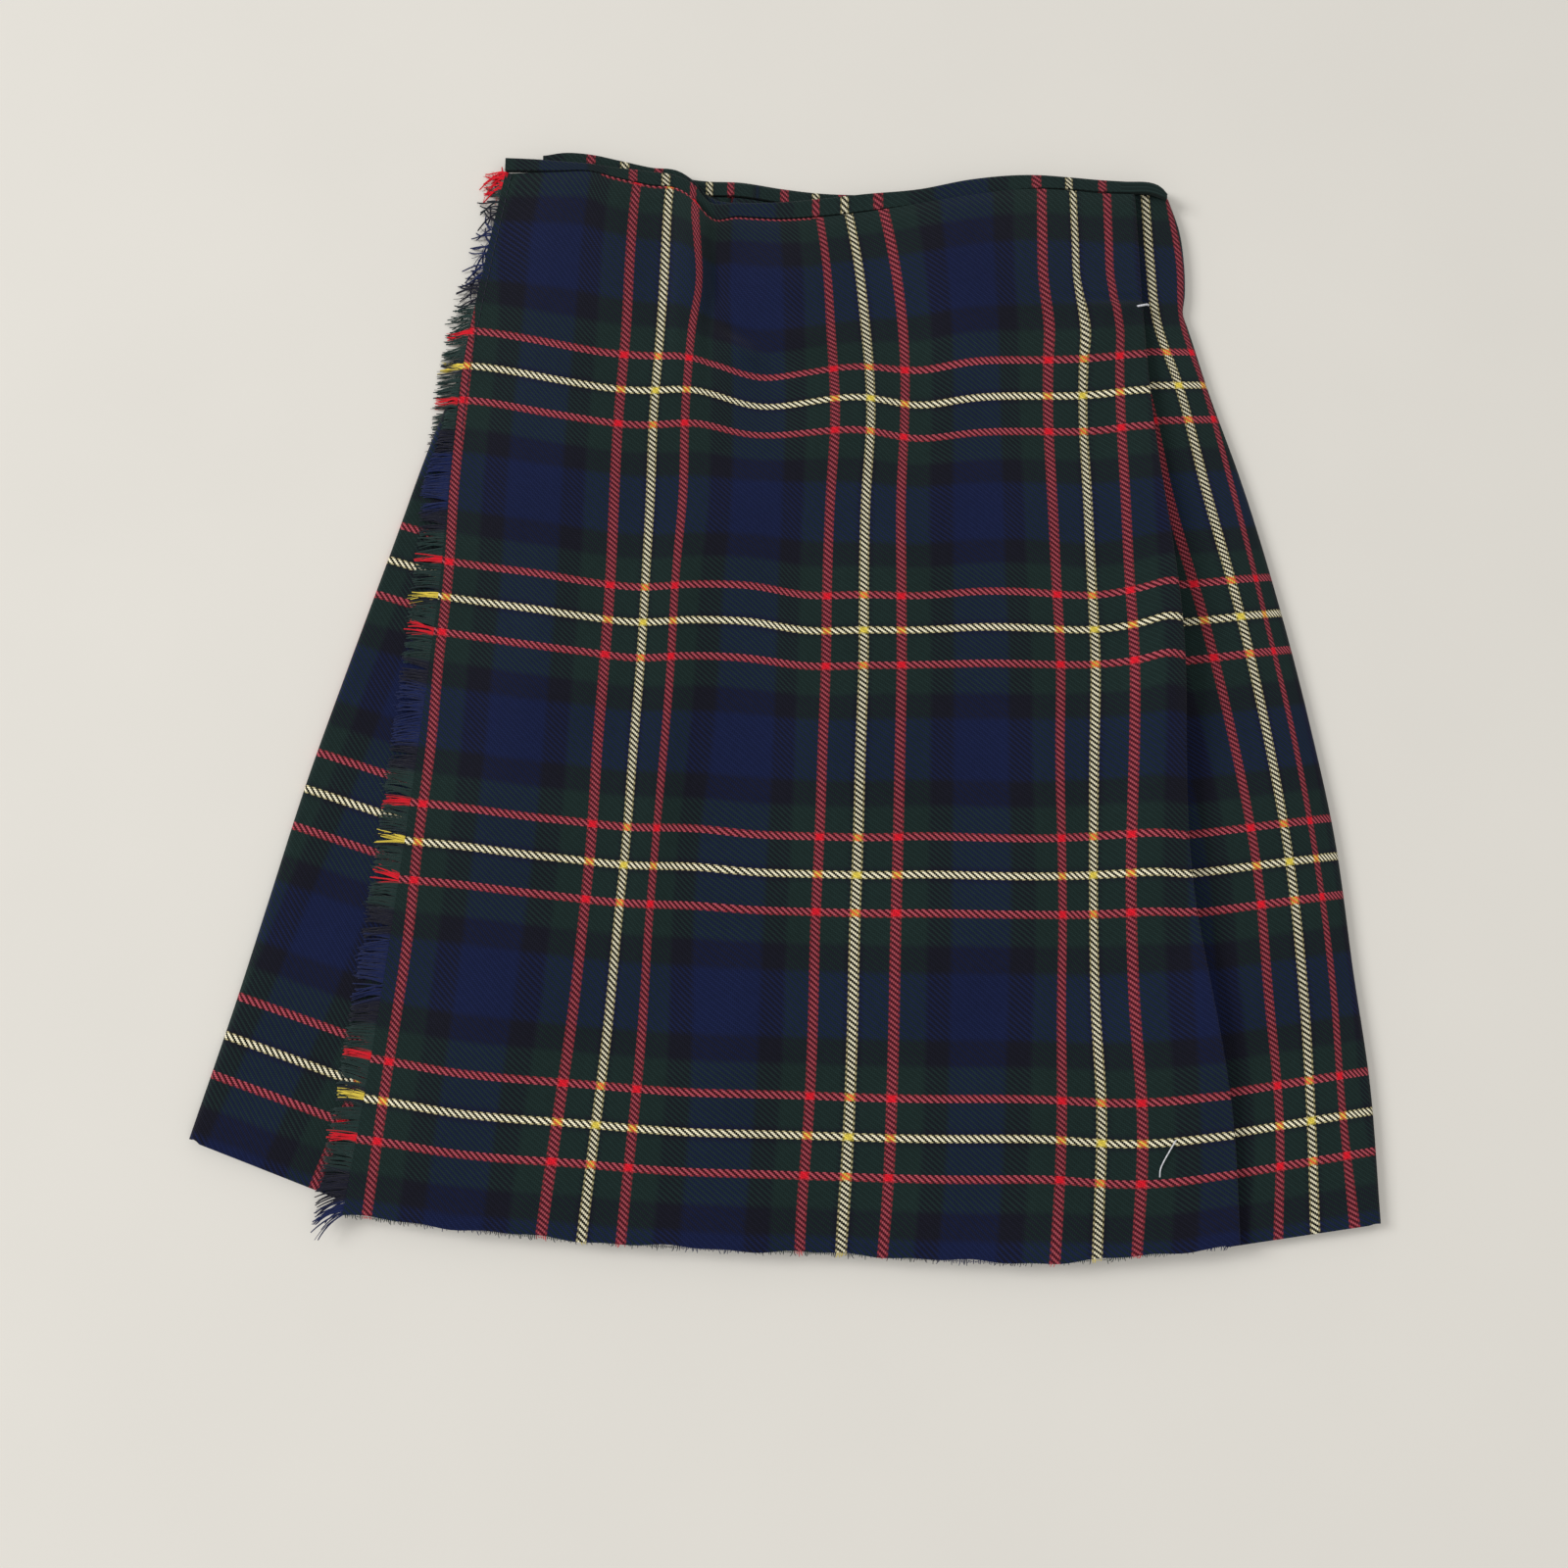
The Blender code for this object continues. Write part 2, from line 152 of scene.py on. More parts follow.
@dataclass(frozen=True)
class SlipChart:
    """How far the apron's cloth has slipped from its smooth lay, place by place.

    The tables hold tenths of a millimetre ahead, one row for each y and one column for
    each x.
    """

    columns: tuple[float, ...]
    rows: tuple[float, ...]
    half_x: float
    half_y: float
    across: tuple[tuple[int, ...], ...]
    down: tuple[tuple[int, ...], ...]

    def at(self, x: Array, y: Array) -> tuple[Array, ...]:
        """Sum the table's bells, exp(-(dx/half_x)^2 - (dy/half_y)^2), round each row and column.

        Args:
            x: across the kilt, mm.
            y: up the kilt, mm.

        Returns:
            The slips across and down, mm.
        """
        bell_x = np.exp(-((x[..., None] - np.array(self.columns)) / self.half_x) ** 2)
        bell_y = np.exp(-((y[..., None] - np.array(self.rows)) / self.half_y) ** 2)
        return tuple(0.1 * ((bell_y @ np.array(t)) * bell_x).sum(-1) for t in (self.across, self.down))


def summed(spots: tuple[Spot, ...], name: str, x: Array, y: Array) -> Array:
    """The sum over all spots of one named effect at each place."""
    return sum((getattr(spot, name) * spot.strength(x, y) for spot in spots), np.zeros_like(x))


# ---------------------------------------------------------------- the tartan and finishes

def linear(code: str) -> tuple[float, float, float, float]:
    """Turn an sRGB hex colour to a linear one.

    Args:
        code: six hex digits.

    Returns:
        Linear red, green and blue, and an alpha of 1.
    """
    parts = [int(code[i:i + 2], 16) / 255 for i in (0, 2, 4)]
    red, green, blue = (c / 12.92 if c <= 0.04045 else ((c + 0.055) / 1.055) ** 2.4 for c in parts)
    return red, green, blue, 1.0


def add(tree: bpy.types.NodeTree, kind: str, values: dict | None = None,
        links: dict | None = None, **settings: object) -> bpy.types.Node:
    """Add a shader node with its settings, socket values and links.

    Args:
        tree: the node tree.
        kind: the node's type name.
        values: socket name or number to plain value.
        links: socket name or number to the output socket that feeds it.
        **settings: properties of the node itself.

    Returns:
        The new node.
    """
    node = tree.nodes.new(kind)
    for name, value in settings.items():
        setattr(node, name, value)
    for socket, value in (values or {}).items():
        node.inputs[socket].default_value = value
    for socket, source in (links or {}).items():
        tree.links.new(source, node.inputs[socket])
    return node


class Yarn(Enum):
    """The kilt's five dyed woollen yarns, each as three sRGB hex colours.

    They are the yarn among its own colour, a lone float of it on the dark ground, where
    a bright yarn is painted paler and dustier as a painted highlight on the float, and a
    dark float with this yarn glowing through from beneath.
    """

    YELLOW = ("f4dc58", "fdf5d4", "16170f")
    BLACK = ("151623", "151623", "151623")
    GREEN = ("1b2d2b", "1b2d2b", "1b2d2b")
    RED = ("ea1c30", "b24f5a", "480f1c")
    BLUE = ("141e44", "141e44", "141e44")


class Look(Enum):
    """Which of a yarn's three colours is wanted."""

    AMONG_ITS_OWN = 0
    LONE = 1
    BENEATH_DARK = 2


class Showing(Enum):
    """Which of the cloth's threads a piece shows."""

    CLOTH = "both, woven as a twill"
    WEFT = "weft ends only"
    WARP = "warp ends only"


# The sett's stripes from the middle of a yellow line to the middle of a blue block, as
# counts of threads. The bright lines are finer in the weft, which is beaten closer.
WARP_SETT = (
    (Yarn.YELLOW, 2.5), (Yarn.BLACK, 2.5), (Yarn.GREEN, 16.2), (Yarn.RED, 5.6),
    (Yarn.GREEN, 16.2), (Yarn.BLACK, 16.0), (Yarn.BLUE, 19.0),
)
WEFT_SETT = (
    (Yarn.YELLOW, 2.2), (Yarn.BLACK, 2.4), (Yarn.GREEN, 17.2), (Yarn.RED, 4.4),
    (Yarn.GREEN, 16.8), (Yarn.BLACK, 16.0), (Yarn.BLUE, 19.0),
)
CHARTED = 156.0        # threads in one repeat of the sett
# The real cloth has 156 ends and 208 picks in a repeat. It is drawn a little coarser, so
# that the ribs of the twill stay clear when the whole kilt is in view.
WARP_ENDS = 144
WEFT_PICKS = 188
BRIGHT = (Yarn.YELLOW, Yarn.RED)


@dataclass(frozen=True)
class TartanWool:
    """Worsted kilting wool, yarn-dyed and woven as a 2/2 twill, dry-finished and matt.

    It gives the eye a fine diagonal rib running down to the right, in which two
    colours mix as dashes where they cross and are solid where a colour crosses itself,
    with a faint soft bloom of loose fibres.
    """

    showing: Showing
    roughness: float = 0.9
    specular: float = 0.1
    bloom: float = 0.08            # sheen of the loose surface fibres
    relief: float = 0.00022        # height of a float above the ground, metres
    painted_groove_shade: float = 0.40           # painted shade: how much darker the colour is between threads
    loosened: float = 1.0          # how much brighter a loose dark yarn is than in the cloth
    mixing: float = 1.6            # threads over which two dark stripes pass into each other
    haze: float = 0.16             # share of the crossing yarn's colour that fibres carry over
    hard_spun: float = 0.76        # the warp is twisted harder than the weft and looks darker
    gain: float = 1.12             # evens that out over the whole cloth
    slubs: float = 38.0            # clumps of fibres in one repeat, each 2.6 mm
    clouds: float = 2.2            # patches of uneven dye in one repeat, each 45 mm
    uneven: float = 0.35           # how much the two of them brighten or darken

    def stripes(self, tree: bpy.types.NodeTree, place: bpy.types.NodeSocket,
                sett: tuple[tuple[Yarn, float], ...], look: Look = Look.AMONG_ITS_OWN) -> bpy.types.Node:
        """Add the sett's stripes, as a ramp over one repeat.

        The ramp's alpha is 1 on the bright yarns and 0 on the dark ones. Two dark
        stripes pass into each other over a few threads, as fibres mix.

        Args:
            tree: the node tree.
            place: where the thread lies, in repeats.
            sett: half of the sett, from a yellow line's middle.
            look: which of the yarns' colours to use.

        Returns:
            The ramp.
        """
        share = add(tree, "ShaderNodeMath", operation="FRACT", links={0: place})
        ramp = add(tree, "ShaderNodeValToRGB", links={0: share.outputs[0]})
        stops = ramp.color_ramp.elements
        whole = sett + sett[::-1]
        start = 0.0
        for number, (yarn, count) in enumerate(whole):
            before = whole[max(number - 1, 0)][0]
            after = whole[min(number + 1, len(whole) - 1)][0]
            enter = start + (0.02 if yarn in BRIGHT or before in BRIGHT else self.mixing)
            leave = start + count - (0.02 if yarn in BRIGHT or after in BRIGHT else self.mixing)
            colour = linear(yarn.value[look.value])[:3] + (float(yarn in BRIGHT),)
            for edge in (enter, leave):
                stop = stops.new(edge / CHARTED)
                stop.color = colour
            start += count
        stops.remove(stops[0])
        stops.remove(stops[len(stops) - 1])
        return ramp

    def thread(self, tree: bpy.types.NodeTree, place: bpy.types.NodeSocket,
               count: int) -> tuple[bpy.types.Node, ...]:
        """Number the threads one way.

        Args:
            tree: the node tree.
            place: distance in repeats.
            count: threads in a repeat.

        Returns:
            Nodes for the distance in threads, the thread's number, and its middle in repeats.
        """
        run = add(tree, "ShaderNodeMath", operation="MULTIPLY", values={1: count}, links={0: place})
        number = add(tree, "ShaderNodeMath", operation="FLOOR", links={0: run.outputs[0]})
        middle = add(tree, "ShaderNodeMath", operation="MULTIPLY_ADD",
                     values={1: 1 / count, 2: 0.5 / count}, links={0: number.outputs[0]})
        return run, number, middle

    def float_phase(self, tree: bpy.types.NodeTree, run: bpy.types.Node,
                    number: bpy.types.Node, shift: float) -> bpy.types.Node:
        """How far along its four-thread course a thread is: below 2 it lies on top.

        Args:
            tree: the node tree.
            run: distance along the thread, in crossing threads.
            number: the thread's own number, which steps the twill.
            shift: where the course starts.

        Returns:
            A node giving 0 to 4.
        """
        gap = add(tree, "ShaderNodeMath", operation="SUBTRACT",
                  links={0: run.outputs[0], 1: number.outputs[0]})
        moved = add(tree, "ShaderNodeMath", operation="ADD", values={1: shift}, links={0: gap.outputs[0]})
        return add(tree, "ShaderNodeMath", operation="FLOORED_MODULO", values={1: 4.0},
                   links={0: moved.outputs[0]})

    def weave(self, tree: bpy.types.NodeTree, u: bpy.types.NodeSocket,
              v: bpy.types.NodeSocket) -> tuple[bpy.types.NodeSocket, bpy.types.NodeSocket]:
        """Cross the two thread systems as a 2/2 twill.

        A warp end lies over two picks and under two, each end one pick lower than the
        one before. A float's height is the sine across the thread times that along it.

        Args:
            tree: the node tree.
            u: across the cloth, in repeats.
            v: down the cloth, in repeats.

        Returns:
            The colour and height sockets.
        """
        end_run, end_number, end_middle = self.thread(tree, u, WARP_ENDS)
        pick_run, pick_number, pick_middle = self.thread(tree, v, WEFT_PICKS)
        warp = self.stripes(tree, end_middle.outputs[0], WARP_SETT)
        weft = self.stripes(tree, pick_middle.outputs[0], WEFT_SETT)
        warp_phase = self.float_phase(tree, pick_run, end_number, 1.0)
        weft_phase = self.float_phase(tree, end_run, pick_number, -2.0)
        lifted = add(tree, "ShaderNodeMath", operation="LESS_THAN", values={1: 2.0},
                     links={0: warp_phase.outputs[0]}).outputs[0]
        hazed = add(tree, "ShaderNodeMath", operation="MULTIPLY_ADD",
                    values={1: 1 - 2 * self.haze, 2: self.haze}, links={0: lifted})
        tint = add(tree, "ShaderNodeMix", data_type="RGBA",
                   links={0: hazed.outputs[0], 6: weft.outputs[0], 7: warp.outputs[0]})
        own = add(tree, "ShaderNodeMix",
                  links={0: lifted, 2: weft.outputs[1], 3: warp.outputs[1]})
        other = add(tree, "ShaderNodeMix",
                    links={0: lifted, 2: warp.outputs[1], 3: weft.outputs[1]})
        lone = add(tree, "ShaderNodeMath", operation="SUBTRACT",
                   links={0: own.outputs[0], 1: other.outputs[0]}, use_clamp=True)
        # Painted highlight: a bright float lying alone on the dark ground takes its paler lone colour
        pale_warp = self.stripes(tree, end_middle.outputs[0], WARP_SETT, Look.LONE)
        pale_weft = self.stripes(tree, pick_middle.outputs[0], WEFT_SETT, Look.LONE)
        pale = add(tree, "ShaderNodeMix", data_type="RGBA",
                   links={0: lifted, 6: pale_weft.outputs[0], 7: pale_warp.outputs[0]})
        below_warp = self.stripes(tree, end_middle.outputs[0], WARP_SETT, Look.BENEATH_DARK)
        below_weft = self.stripes(tree, pick_middle.outputs[0], WEFT_SETT, Look.BENEATH_DARK)
        below = add(tree, "ShaderNodeMix", data_type="RGBA",
                    links={0: lifted, 6: below_warp.outputs[0], 7: below_weft.outputs[0]})
        covering = add(tree, "ShaderNodeMath", operation="SUBTRACT",
                       links={0: other.outputs[0], 1: own.outputs[0]}, use_clamp=True)
        dyed = add(tree, "ShaderNodeMix", data_type="RGBA",
                   links={0: lone.outputs[0], 6: tint.outputs[2], 7: pale.outputs[2]})
        dyed = add(tree, "ShaderNodeMix", data_type="RGBA",
                   links={0: covering.outputs[0], 6: dyed.outputs[2], 7: below.outputs[2]})
        dulled = add(tree, "ShaderNodeMath", operation="MULTIPLY_ADD",
                     values={1: (self.hard_spun - 1) * self.gain, 2: self.gain}, links={0: lifted})
        dyed = add(tree, "ShaderNodeHueSaturation",
                   links={"Color": dyed.outputs[2], "Value": dulled.outputs[0]})
        along = add(tree, "ShaderNodeMix",
                    links={0: lifted, 2: weft_phase.outputs[0], 3: warp_phase.outputs[0]})
        beside = add(tree, "ShaderNodeMix", links={0: lifted, 2: pick_run.outputs[0], 3: end_run.outputs[0]})
        arch = add(tree, "ShaderNodeMath", operation="MULTIPLY", values={1: np.pi / 2},
                   links={0: along.outputs[0]})
        arch = add(tree, "ShaderNodeMath", operation="SINE", links={0: arch.outputs[0]})
        round_ = add(tree, "ShaderNodeMath", operation="MULTIPLY", values={1: np.pi},
                     links={0: beside.outputs[0]})
        round_ = add(tree, "ShaderNodeMath", operation="SINE", links={0: round_.outputs[0]})
        round_ = add(tree, "ShaderNodeMath", operation="ABSOLUTE", links={0: round_.outputs[0]})
        height = add(tree, "ShaderNodeMath", operation="MULTIPLY",
                     links={0: arch.outputs[0], 1: round_.outputs[0]}, use_clamp=True)
        return dyed.outputs[0], height.outputs[0]

    def ends(self, tree: bpy.types.NodeTree, place: bpy.types.NodeSocket, along: bpy.types.NodeSocket,
             sett: tuple[tuple[Yarn, float], ...]) -> tuple[bpy.types.NodeSocket, bpy.types.NodeSocket]:
        """Colour loose thread ends from the sett, with fibres along them as relief.

        Args:
            tree: the node tree.
            place: where the thread left the cloth, in repeats.
            along: how far along the thread, from its root.
            sett: half of the sett, from a yellow line's middle.

        Returns:
            The colour and height sockets.
        """
        stripes = self.stripes(tree, place, sett)
        spot = add(tree, "ShaderNodeCombineXYZ", links={0: place, 1: along})
        stretch = add(tree, "ShaderNodeVectorMath", operation="MULTIPLY",
                      links={0: spot.outputs[0]}, values={1: (900.0, 6.0, 1.0)})
        fibre = add(tree, "ShaderNodeTexNoise", values={"Scale": 1.0, "Detail": 2.0},
                    links={"Vector": stretch.outputs[0]})
        # Dark yarns look paler once loose, as light gets in among the fibres
        paler = add(tree, "ShaderNodeMath", operation="MULTIPLY_ADD",
                    values={1: 0.9 - self.loosened, 2: self.loosened}, links={0: stripes.outputs[1]})
        dyed = add(tree, "ShaderNodeHueSaturation",
                   links={"Color": stripes.outputs[0], "Value": paler.outputs[0]})
        return dyed.outputs[0], fibre.outputs[0]

    def make(self) -> bpy.types.Material:
        """Make the material. It reads the piece's own UV map, so it follows the folds.

        Returns:
            The material.
        """
        name = {
            Showing.CLOTH: "tartan_wool_twill",
            Showing.WEFT: "loose_weft_ends",
            Showing.WARP: "loose_warp_ends",
        }[self.showing]
        material = bpy.data.materials.new(name)
        material.use_nodes = True
        tree = material.node_tree
        shader = tree.nodes["Principled BSDF"]
        chart = add(tree, "ShaderNodeUVMap", uv_map="cloth")
        split = add(tree, "ShaderNodeSeparateXYZ", links={0: chart.outputs[0]})
        u, v = split.outputs[0], split.outputs[1]
        if self.showing is Showing.CLOTH:
            colour, height = self.weave(tree, u, v)
        elif self.showing is Showing.WEFT:
            colour, height = self.ends(tree, v, u, WEFT_SETT)
        else:
            colour, height = self.ends(tree, u, v, WARP_SETT)
        # Slubs and uneven dye make it brighter or darker by a tenth
        slub = add(tree, "ShaderNodeTexNoise", values={"Scale": self.slubs, "Detail": 3.0},
                   links={"Vector": chart.outputs[0]})
        worn = add(tree, "ShaderNodeTexNoise", values={"Scale": self.clouds, "Detail": 2.0},
                   links={"Vector": chart.outputs[0]})
        uneven = add(tree, "ShaderNodeMath", operation="ADD",
                     links={0: slub.outputs[0], 1: worn.outputs[0]})
        shade = add(tree, "ShaderNodeMath", operation="MULTIPLY_ADD",
                    values={1: self.uneven, 2: 1 - self.uneven}, links={0: uneven.outputs[0]})
        # Painted shade and highlight: the colour is darker in the grooves between threads and lighter on the
        # floats' tops, standing in for the shade the yarns cast on each other
        lit = add(tree, "ShaderNodeMath", operation="MULTIPLY_ADD",
                  values={1: self.painted_groove_shade * 1.4, 2: 1 - self.painted_groove_shade}, links={0: height})
        value = add(tree, "ShaderNodeMath", operation="MULTIPLY",
                    links={0: shade.outputs[0], 1: lit.outputs[0]})
        dyed = add(tree, "ShaderNodeHueSaturation", links={"Color": colour, "Value": value.outputs[0]})
        bump = add(tree, "ShaderNodeBump", values={"Strength": 0.6, "Distance": self.relief},
                   links={"Height": height})
        tree.links.new(dyed.outputs[0], shader.inputs["Base Color"])
        tree.links.new(bump.outputs[0], shader.inputs["Normal"])
        shader.inputs["Roughness"].default_value = self.roughness
        shader.inputs["Specular IOR Level"].default_value = self.specular
        shader.inputs["Sheen Weight"].default_value = self.bloom
        shader.inputs["Sheen Roughness"].default_value = 0.5
        return material


@dataclass(frozen=True)
class SewingThread:
    """Mercerised cotton sewing thread: two plies, smooth, with a slight gloss."""

    name: str
    colour: str
    roughness: float = 0.55
    twist: float = 1.1             # length of one turn of the plies, mm

    def make(self) -> bpy.types.Material:
        """Make the material. Its twist is painted shade: darker and lighter bands on Object coordinates,
        about a millimetre apart.

        Returns:
            The material.
        """
        material = bpy.data.materials.new(self.name)
        material.use_nodes = True
        tree = material.node_tree
        shader = tree.nodes["Principled BSDF"]
        place = add(tree, "ShaderNodeTexCoord")
        # Painted shade of the ply twist: bands of a wave texture lie 0.314 / scale apart
        ply = add(tree, "ShaderNodeTexWave", values={"Scale": 0.314 / (self.twist * MM), "Distortion": 0.5},
                  links={"Vector": place.outputs["Object"]})
        shade = add(tree, "ShaderNodeMath", operation="MULTIPLY_ADD", values={1: 0.3, 2: 0.75},
                    links={0: ply.outputs["Fac"]})
        dyed = add(tree, "ShaderNodeHueSaturation", values={"Color": linear(self.colour)},
                   links={"Value": shade.outputs[0]})
        tree.links.new(dyed.outputs[0], shader.inputs["Base Color"])
        shader.inputs["Roughness"].default_value = self.roughness
        return material


@dataclass(frozen=True)
class PaleFloor:
    """A plain pale matt sheet under the kilt, warm white, faintly mottled."""

    colour: str = "e6e3dc"
    roughness: float = 0.95

    def make(self) -> bpy.types.Material:
        """Make the material: soft clouds a hand wide, two percent lighter or darker.

        Returns:
            The material.
        """
        material = bpy.data.materials.new("pale_matt_floor")
        material.use_nodes = True
        tree = material.node_tree
        shader = tree.nodes["Principled BSDF"]
        place = add(tree, "ShaderNodeTexCoord")
        cloud = add(tree, "ShaderNodeTexNoise", values={"Scale": 9.0, "Detail": 3.0},
                    links={"Vector": place.outputs["Object"]})
        shade = add(tree, "ShaderNodeMath", operation="MULTIPLY_ADD", values={1: 0.05, 2: 0.97},
                    links={0: cloud.outputs[0]})
        tint = add(tree, "ShaderNodeHueSaturation", values={"Color": linear(self.colour)},
                   links={"Value": shade.outputs[0]})
        tree.links.new(tint.outputs[0], shader.inputs["Base Color"])
        shader.inputs["Roughness"].default_value = self.roughness
        shader.inputs["Specular IOR Level"].default_value = 0.1
        return material


# ---------------------------------------------------------------- meshes from arrays

def make_object(name: str, points: Array, faces: NDArray[np.int64], threads: Array,
                finish: bpy.types.Material, crease: float = 50.0) -> bpy.types.Object:
    """Put points and faces into a smooth mesh with its cloth coordinates.

    Args:
        name: the piece's name.
        points: (n, 3) places in millimetres.
        faces: (m, 4) point numbers.
        threads: (n, 2) millimetres across and down the flat cloth.
        finish: its material.
        crease: edges sharper than this many degrees stay crisp.

    Returns:
        The new object, at the origin.
    """
    mesh = bpy.data.meshes.new(name)
    mesh.from_pydata(points * MM, [], faces)
    mesh.update()
    chart = mesh.uv_layers.new(name="cloth")
    corner = np.empty(len(mesh.loops), dtype=np.int64)
    mesh.loops.foreach_get("vertex_index", corner)
    repeats = (threads - [0.0, FIRST_LINE]) / [SETT_ACROSS, SETT_DOWN]
    chart.uv.foreach_set("vector", repeats[corner].astype(np.float32).ravel())
    mesh.shade_smooth()
    mesh.set_sharp_from_angle(angle=np.radians(crease))
    mesh.materials.append(finish)
    made = bpy.data.objects.new(name, mesh)
    bpy.context.collection.objects.link(made)
    return made


def upright_normals(middle: Array) -> Array:
    """Unit normals of a grid whose rows run down the kilt and columns across it.

    They are the cross product of the grid's two slopes.

    Args:
        middle: (rows, columns, 3) places.

    Returns:
        An array of the same shape.
    """
    slope_down = np.gradient(middle, axis=0)
    slope_across = np.gradient(middle, axis=1)
    normal = np.cross(slope_down, slope_across)
    return normal / np.linalg.norm(normal, axis=-1, keepdims=True)


def cloth_wall(name: str, middle: Array, threads: Array, finish: bpy.types.Material,
               thickness: float = CLOTH) -> bpy.types.Object:
    """Make a closed wall of cloth round a grid of middle points.

    The grid moves out by half the thickness on each side, and its rim is closed.

    Args:
        name: the piece's name.
        middle: (rows, columns, 3) places in millimetres.
        threads: (rows, columns, 2) millimetres across and down the flat cloth.
        finish: its material.
        thickness: of the wall.

    Returns:
        The new object.
    """
    half = upright_normals(middle) * thickness / 2
    rows, cols = middle.shape[:2]
    points = np.concatenate([(middle + half).reshape(-1, 3), (middle - half).reshape(-1, 3)])
    index = np.arange(rows * cols).reshape(rows, cols)
    far = rows * cols
    cells = np.stack([index[:-1, :-1], index[1:, :-1], index[1:, 1:], index[:-1, 1:]], -1).reshape(-1, 4)
    ring = np.concatenate([index[0, :-1], index[:-1, -1], index[-1, :0:-1], index[:0:-1, 0]])
    after = np.roll(ring, -1)
    rim = np.stack([ring, after, after + far, ring + far], -1)
    faces = np.concatenate([cells, cells[:, ::-1] + far, rim])
    both = np.tile(threads.reshape(-1, 2), (2, 1))
    return make_object(name, points, faces, both, finish)


def strands(name: str, paths: Array, radius: Array, threads: Array,
            finish: bpy.types.Material) -> bpy.types.Object:
    """Join many thin strands into one mesh.

    Each strand is a square of points, shaded round, carried along its path and closed by
    a face at each end. The square stands across the path's heading.

    Args:
        name: the piece's name.
        paths: (strands, points, 3) places in millimetres.
        radius: (strands, points) millimetres.
        threads: (strands, points, 2) cloth coordinates.
        finish: its material.

    Returns:
        The new object.
    """
    count, steps = paths.shape[:2]
    heading = np.gradient(paths, axis=1)
    heading /= np.linalg.norm(heading, axis=-1, keepdims=True)
    up = np.where(np.abs(heading[..., 2:]) > 0.9, np.array([1.0, 0.0, 0.0]), np.array([0.0, 0.0, 1.0]))
    right = np.cross(heading, up)
    right /= np.linalg.norm(right, axis=-1, keepdims=True)
    over = np.cross(heading, right)
    turn = np.arange(4) * np.pi / 2
    ring = right[:, :, None] * np.cos(turn)[:, None] + over[:, :, None] * np.sin(turn)[:, None]
    points = paths[:, :, None] + ring * radius[:, :, None, None]
    index = np.arange(count * steps * 4).reshape(count, steps, 4)
    beside = np.roll(index, -1, axis=2)
    walls = np.stack([index[:, :-1], beside[:, :-1], beside[:, 1:], index[:, 1:]], -1).reshape(-1, 4)
    faces = np.concatenate([walls, index[:, 0, ::-1], index[:, -1]])
    charts = np.repeat(threads[:, :, None], 4, axis=2).reshape(-1, 2)
    return make_object(name, points.reshape(-1, 3), faces, charts, finish, crease=100.0)


def place_piece(piece: bpy.types.Object, slot: str, *nodes: str) -> bpy.types.Object:
    """Tie a new piece to the kilt's body, and hide the CAD nodes that it stands for.

    Args:
        piece: the new object.
        slot: the name of its finish; not used.
        *nodes: the CAD nodes that it replaces.

    Returns:
        The same object.
    """
    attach(piece, "root")
    if nodes:
        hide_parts(*nodes)
    LOG.info("%s: %d faces", piece.name, len(piece.data.polygons))
    return piece


# ---------------------------------------------------------------- the over apron

@dataclass(frozen=True)
class ApronLevel:
    """One level of the over apron: where its edge, yellow lines and fold lie.

    The edge was cut and the fold pressed a little off the grain. edge_cloth is the flat
    cloth left of line a there, and fold_cloth that right of line c.
    """

    down: float
    edge_x: float
    edge_y: float
    a_x: float
    a_y: float
    b_x: float
    b_y: float
    c_x: float
    c_y: float
    fold_x: float
    fold_y: float
    edge_cloth: float
    fold_cloth: float


APRON = (
    ApronLevel(0.0, -121.0, 221.8, -46.2, 211.0, 30.8, 201.5, 128.1, 212.5, 152.5, 211.0, 80.3, 24.4),
    ApronLevel(86.5, -135.8, 130.5, -52.8, 118.3, 36.8, 116.0, 127.8, 117.0, 154.8, 118.5, 84.8, 27.0),
    ApronLevel(188.0, -142.0, 28.8, -56.5, 17.7, 33.5, 13.7, 127.8, 14.3, 162.3, 15.4, 86.7, 34.5),
    ApronLevel(289.5, -151.0, -73.6, -61.5, -84.1, 30.0, -88.0, 123.9, -88.2, 161.3, -86.5, 88.7, 37.4),
    ApronLevel(391.0, -162.0, -174.4, -71.2, -184.5, 25.5, -189.3, 123.0, -191.3, 173.3, -188.8, 90.7, 50.3),
    ApronLevel(435.0, -168.0, -218.6, -76.2, -228.0, 22.6, -232.8, 119.8, -235.0, 173.4, -229.4, 92.2, 53.6),
)


@dataclass(frozen=True)
class BandStation:
    """One place along the waist: the waistbands' seams and heights."""

    x: float
    front_seam: float
    front_band: float
    under_seam: float
    back_seam: float
    hidden_band: float


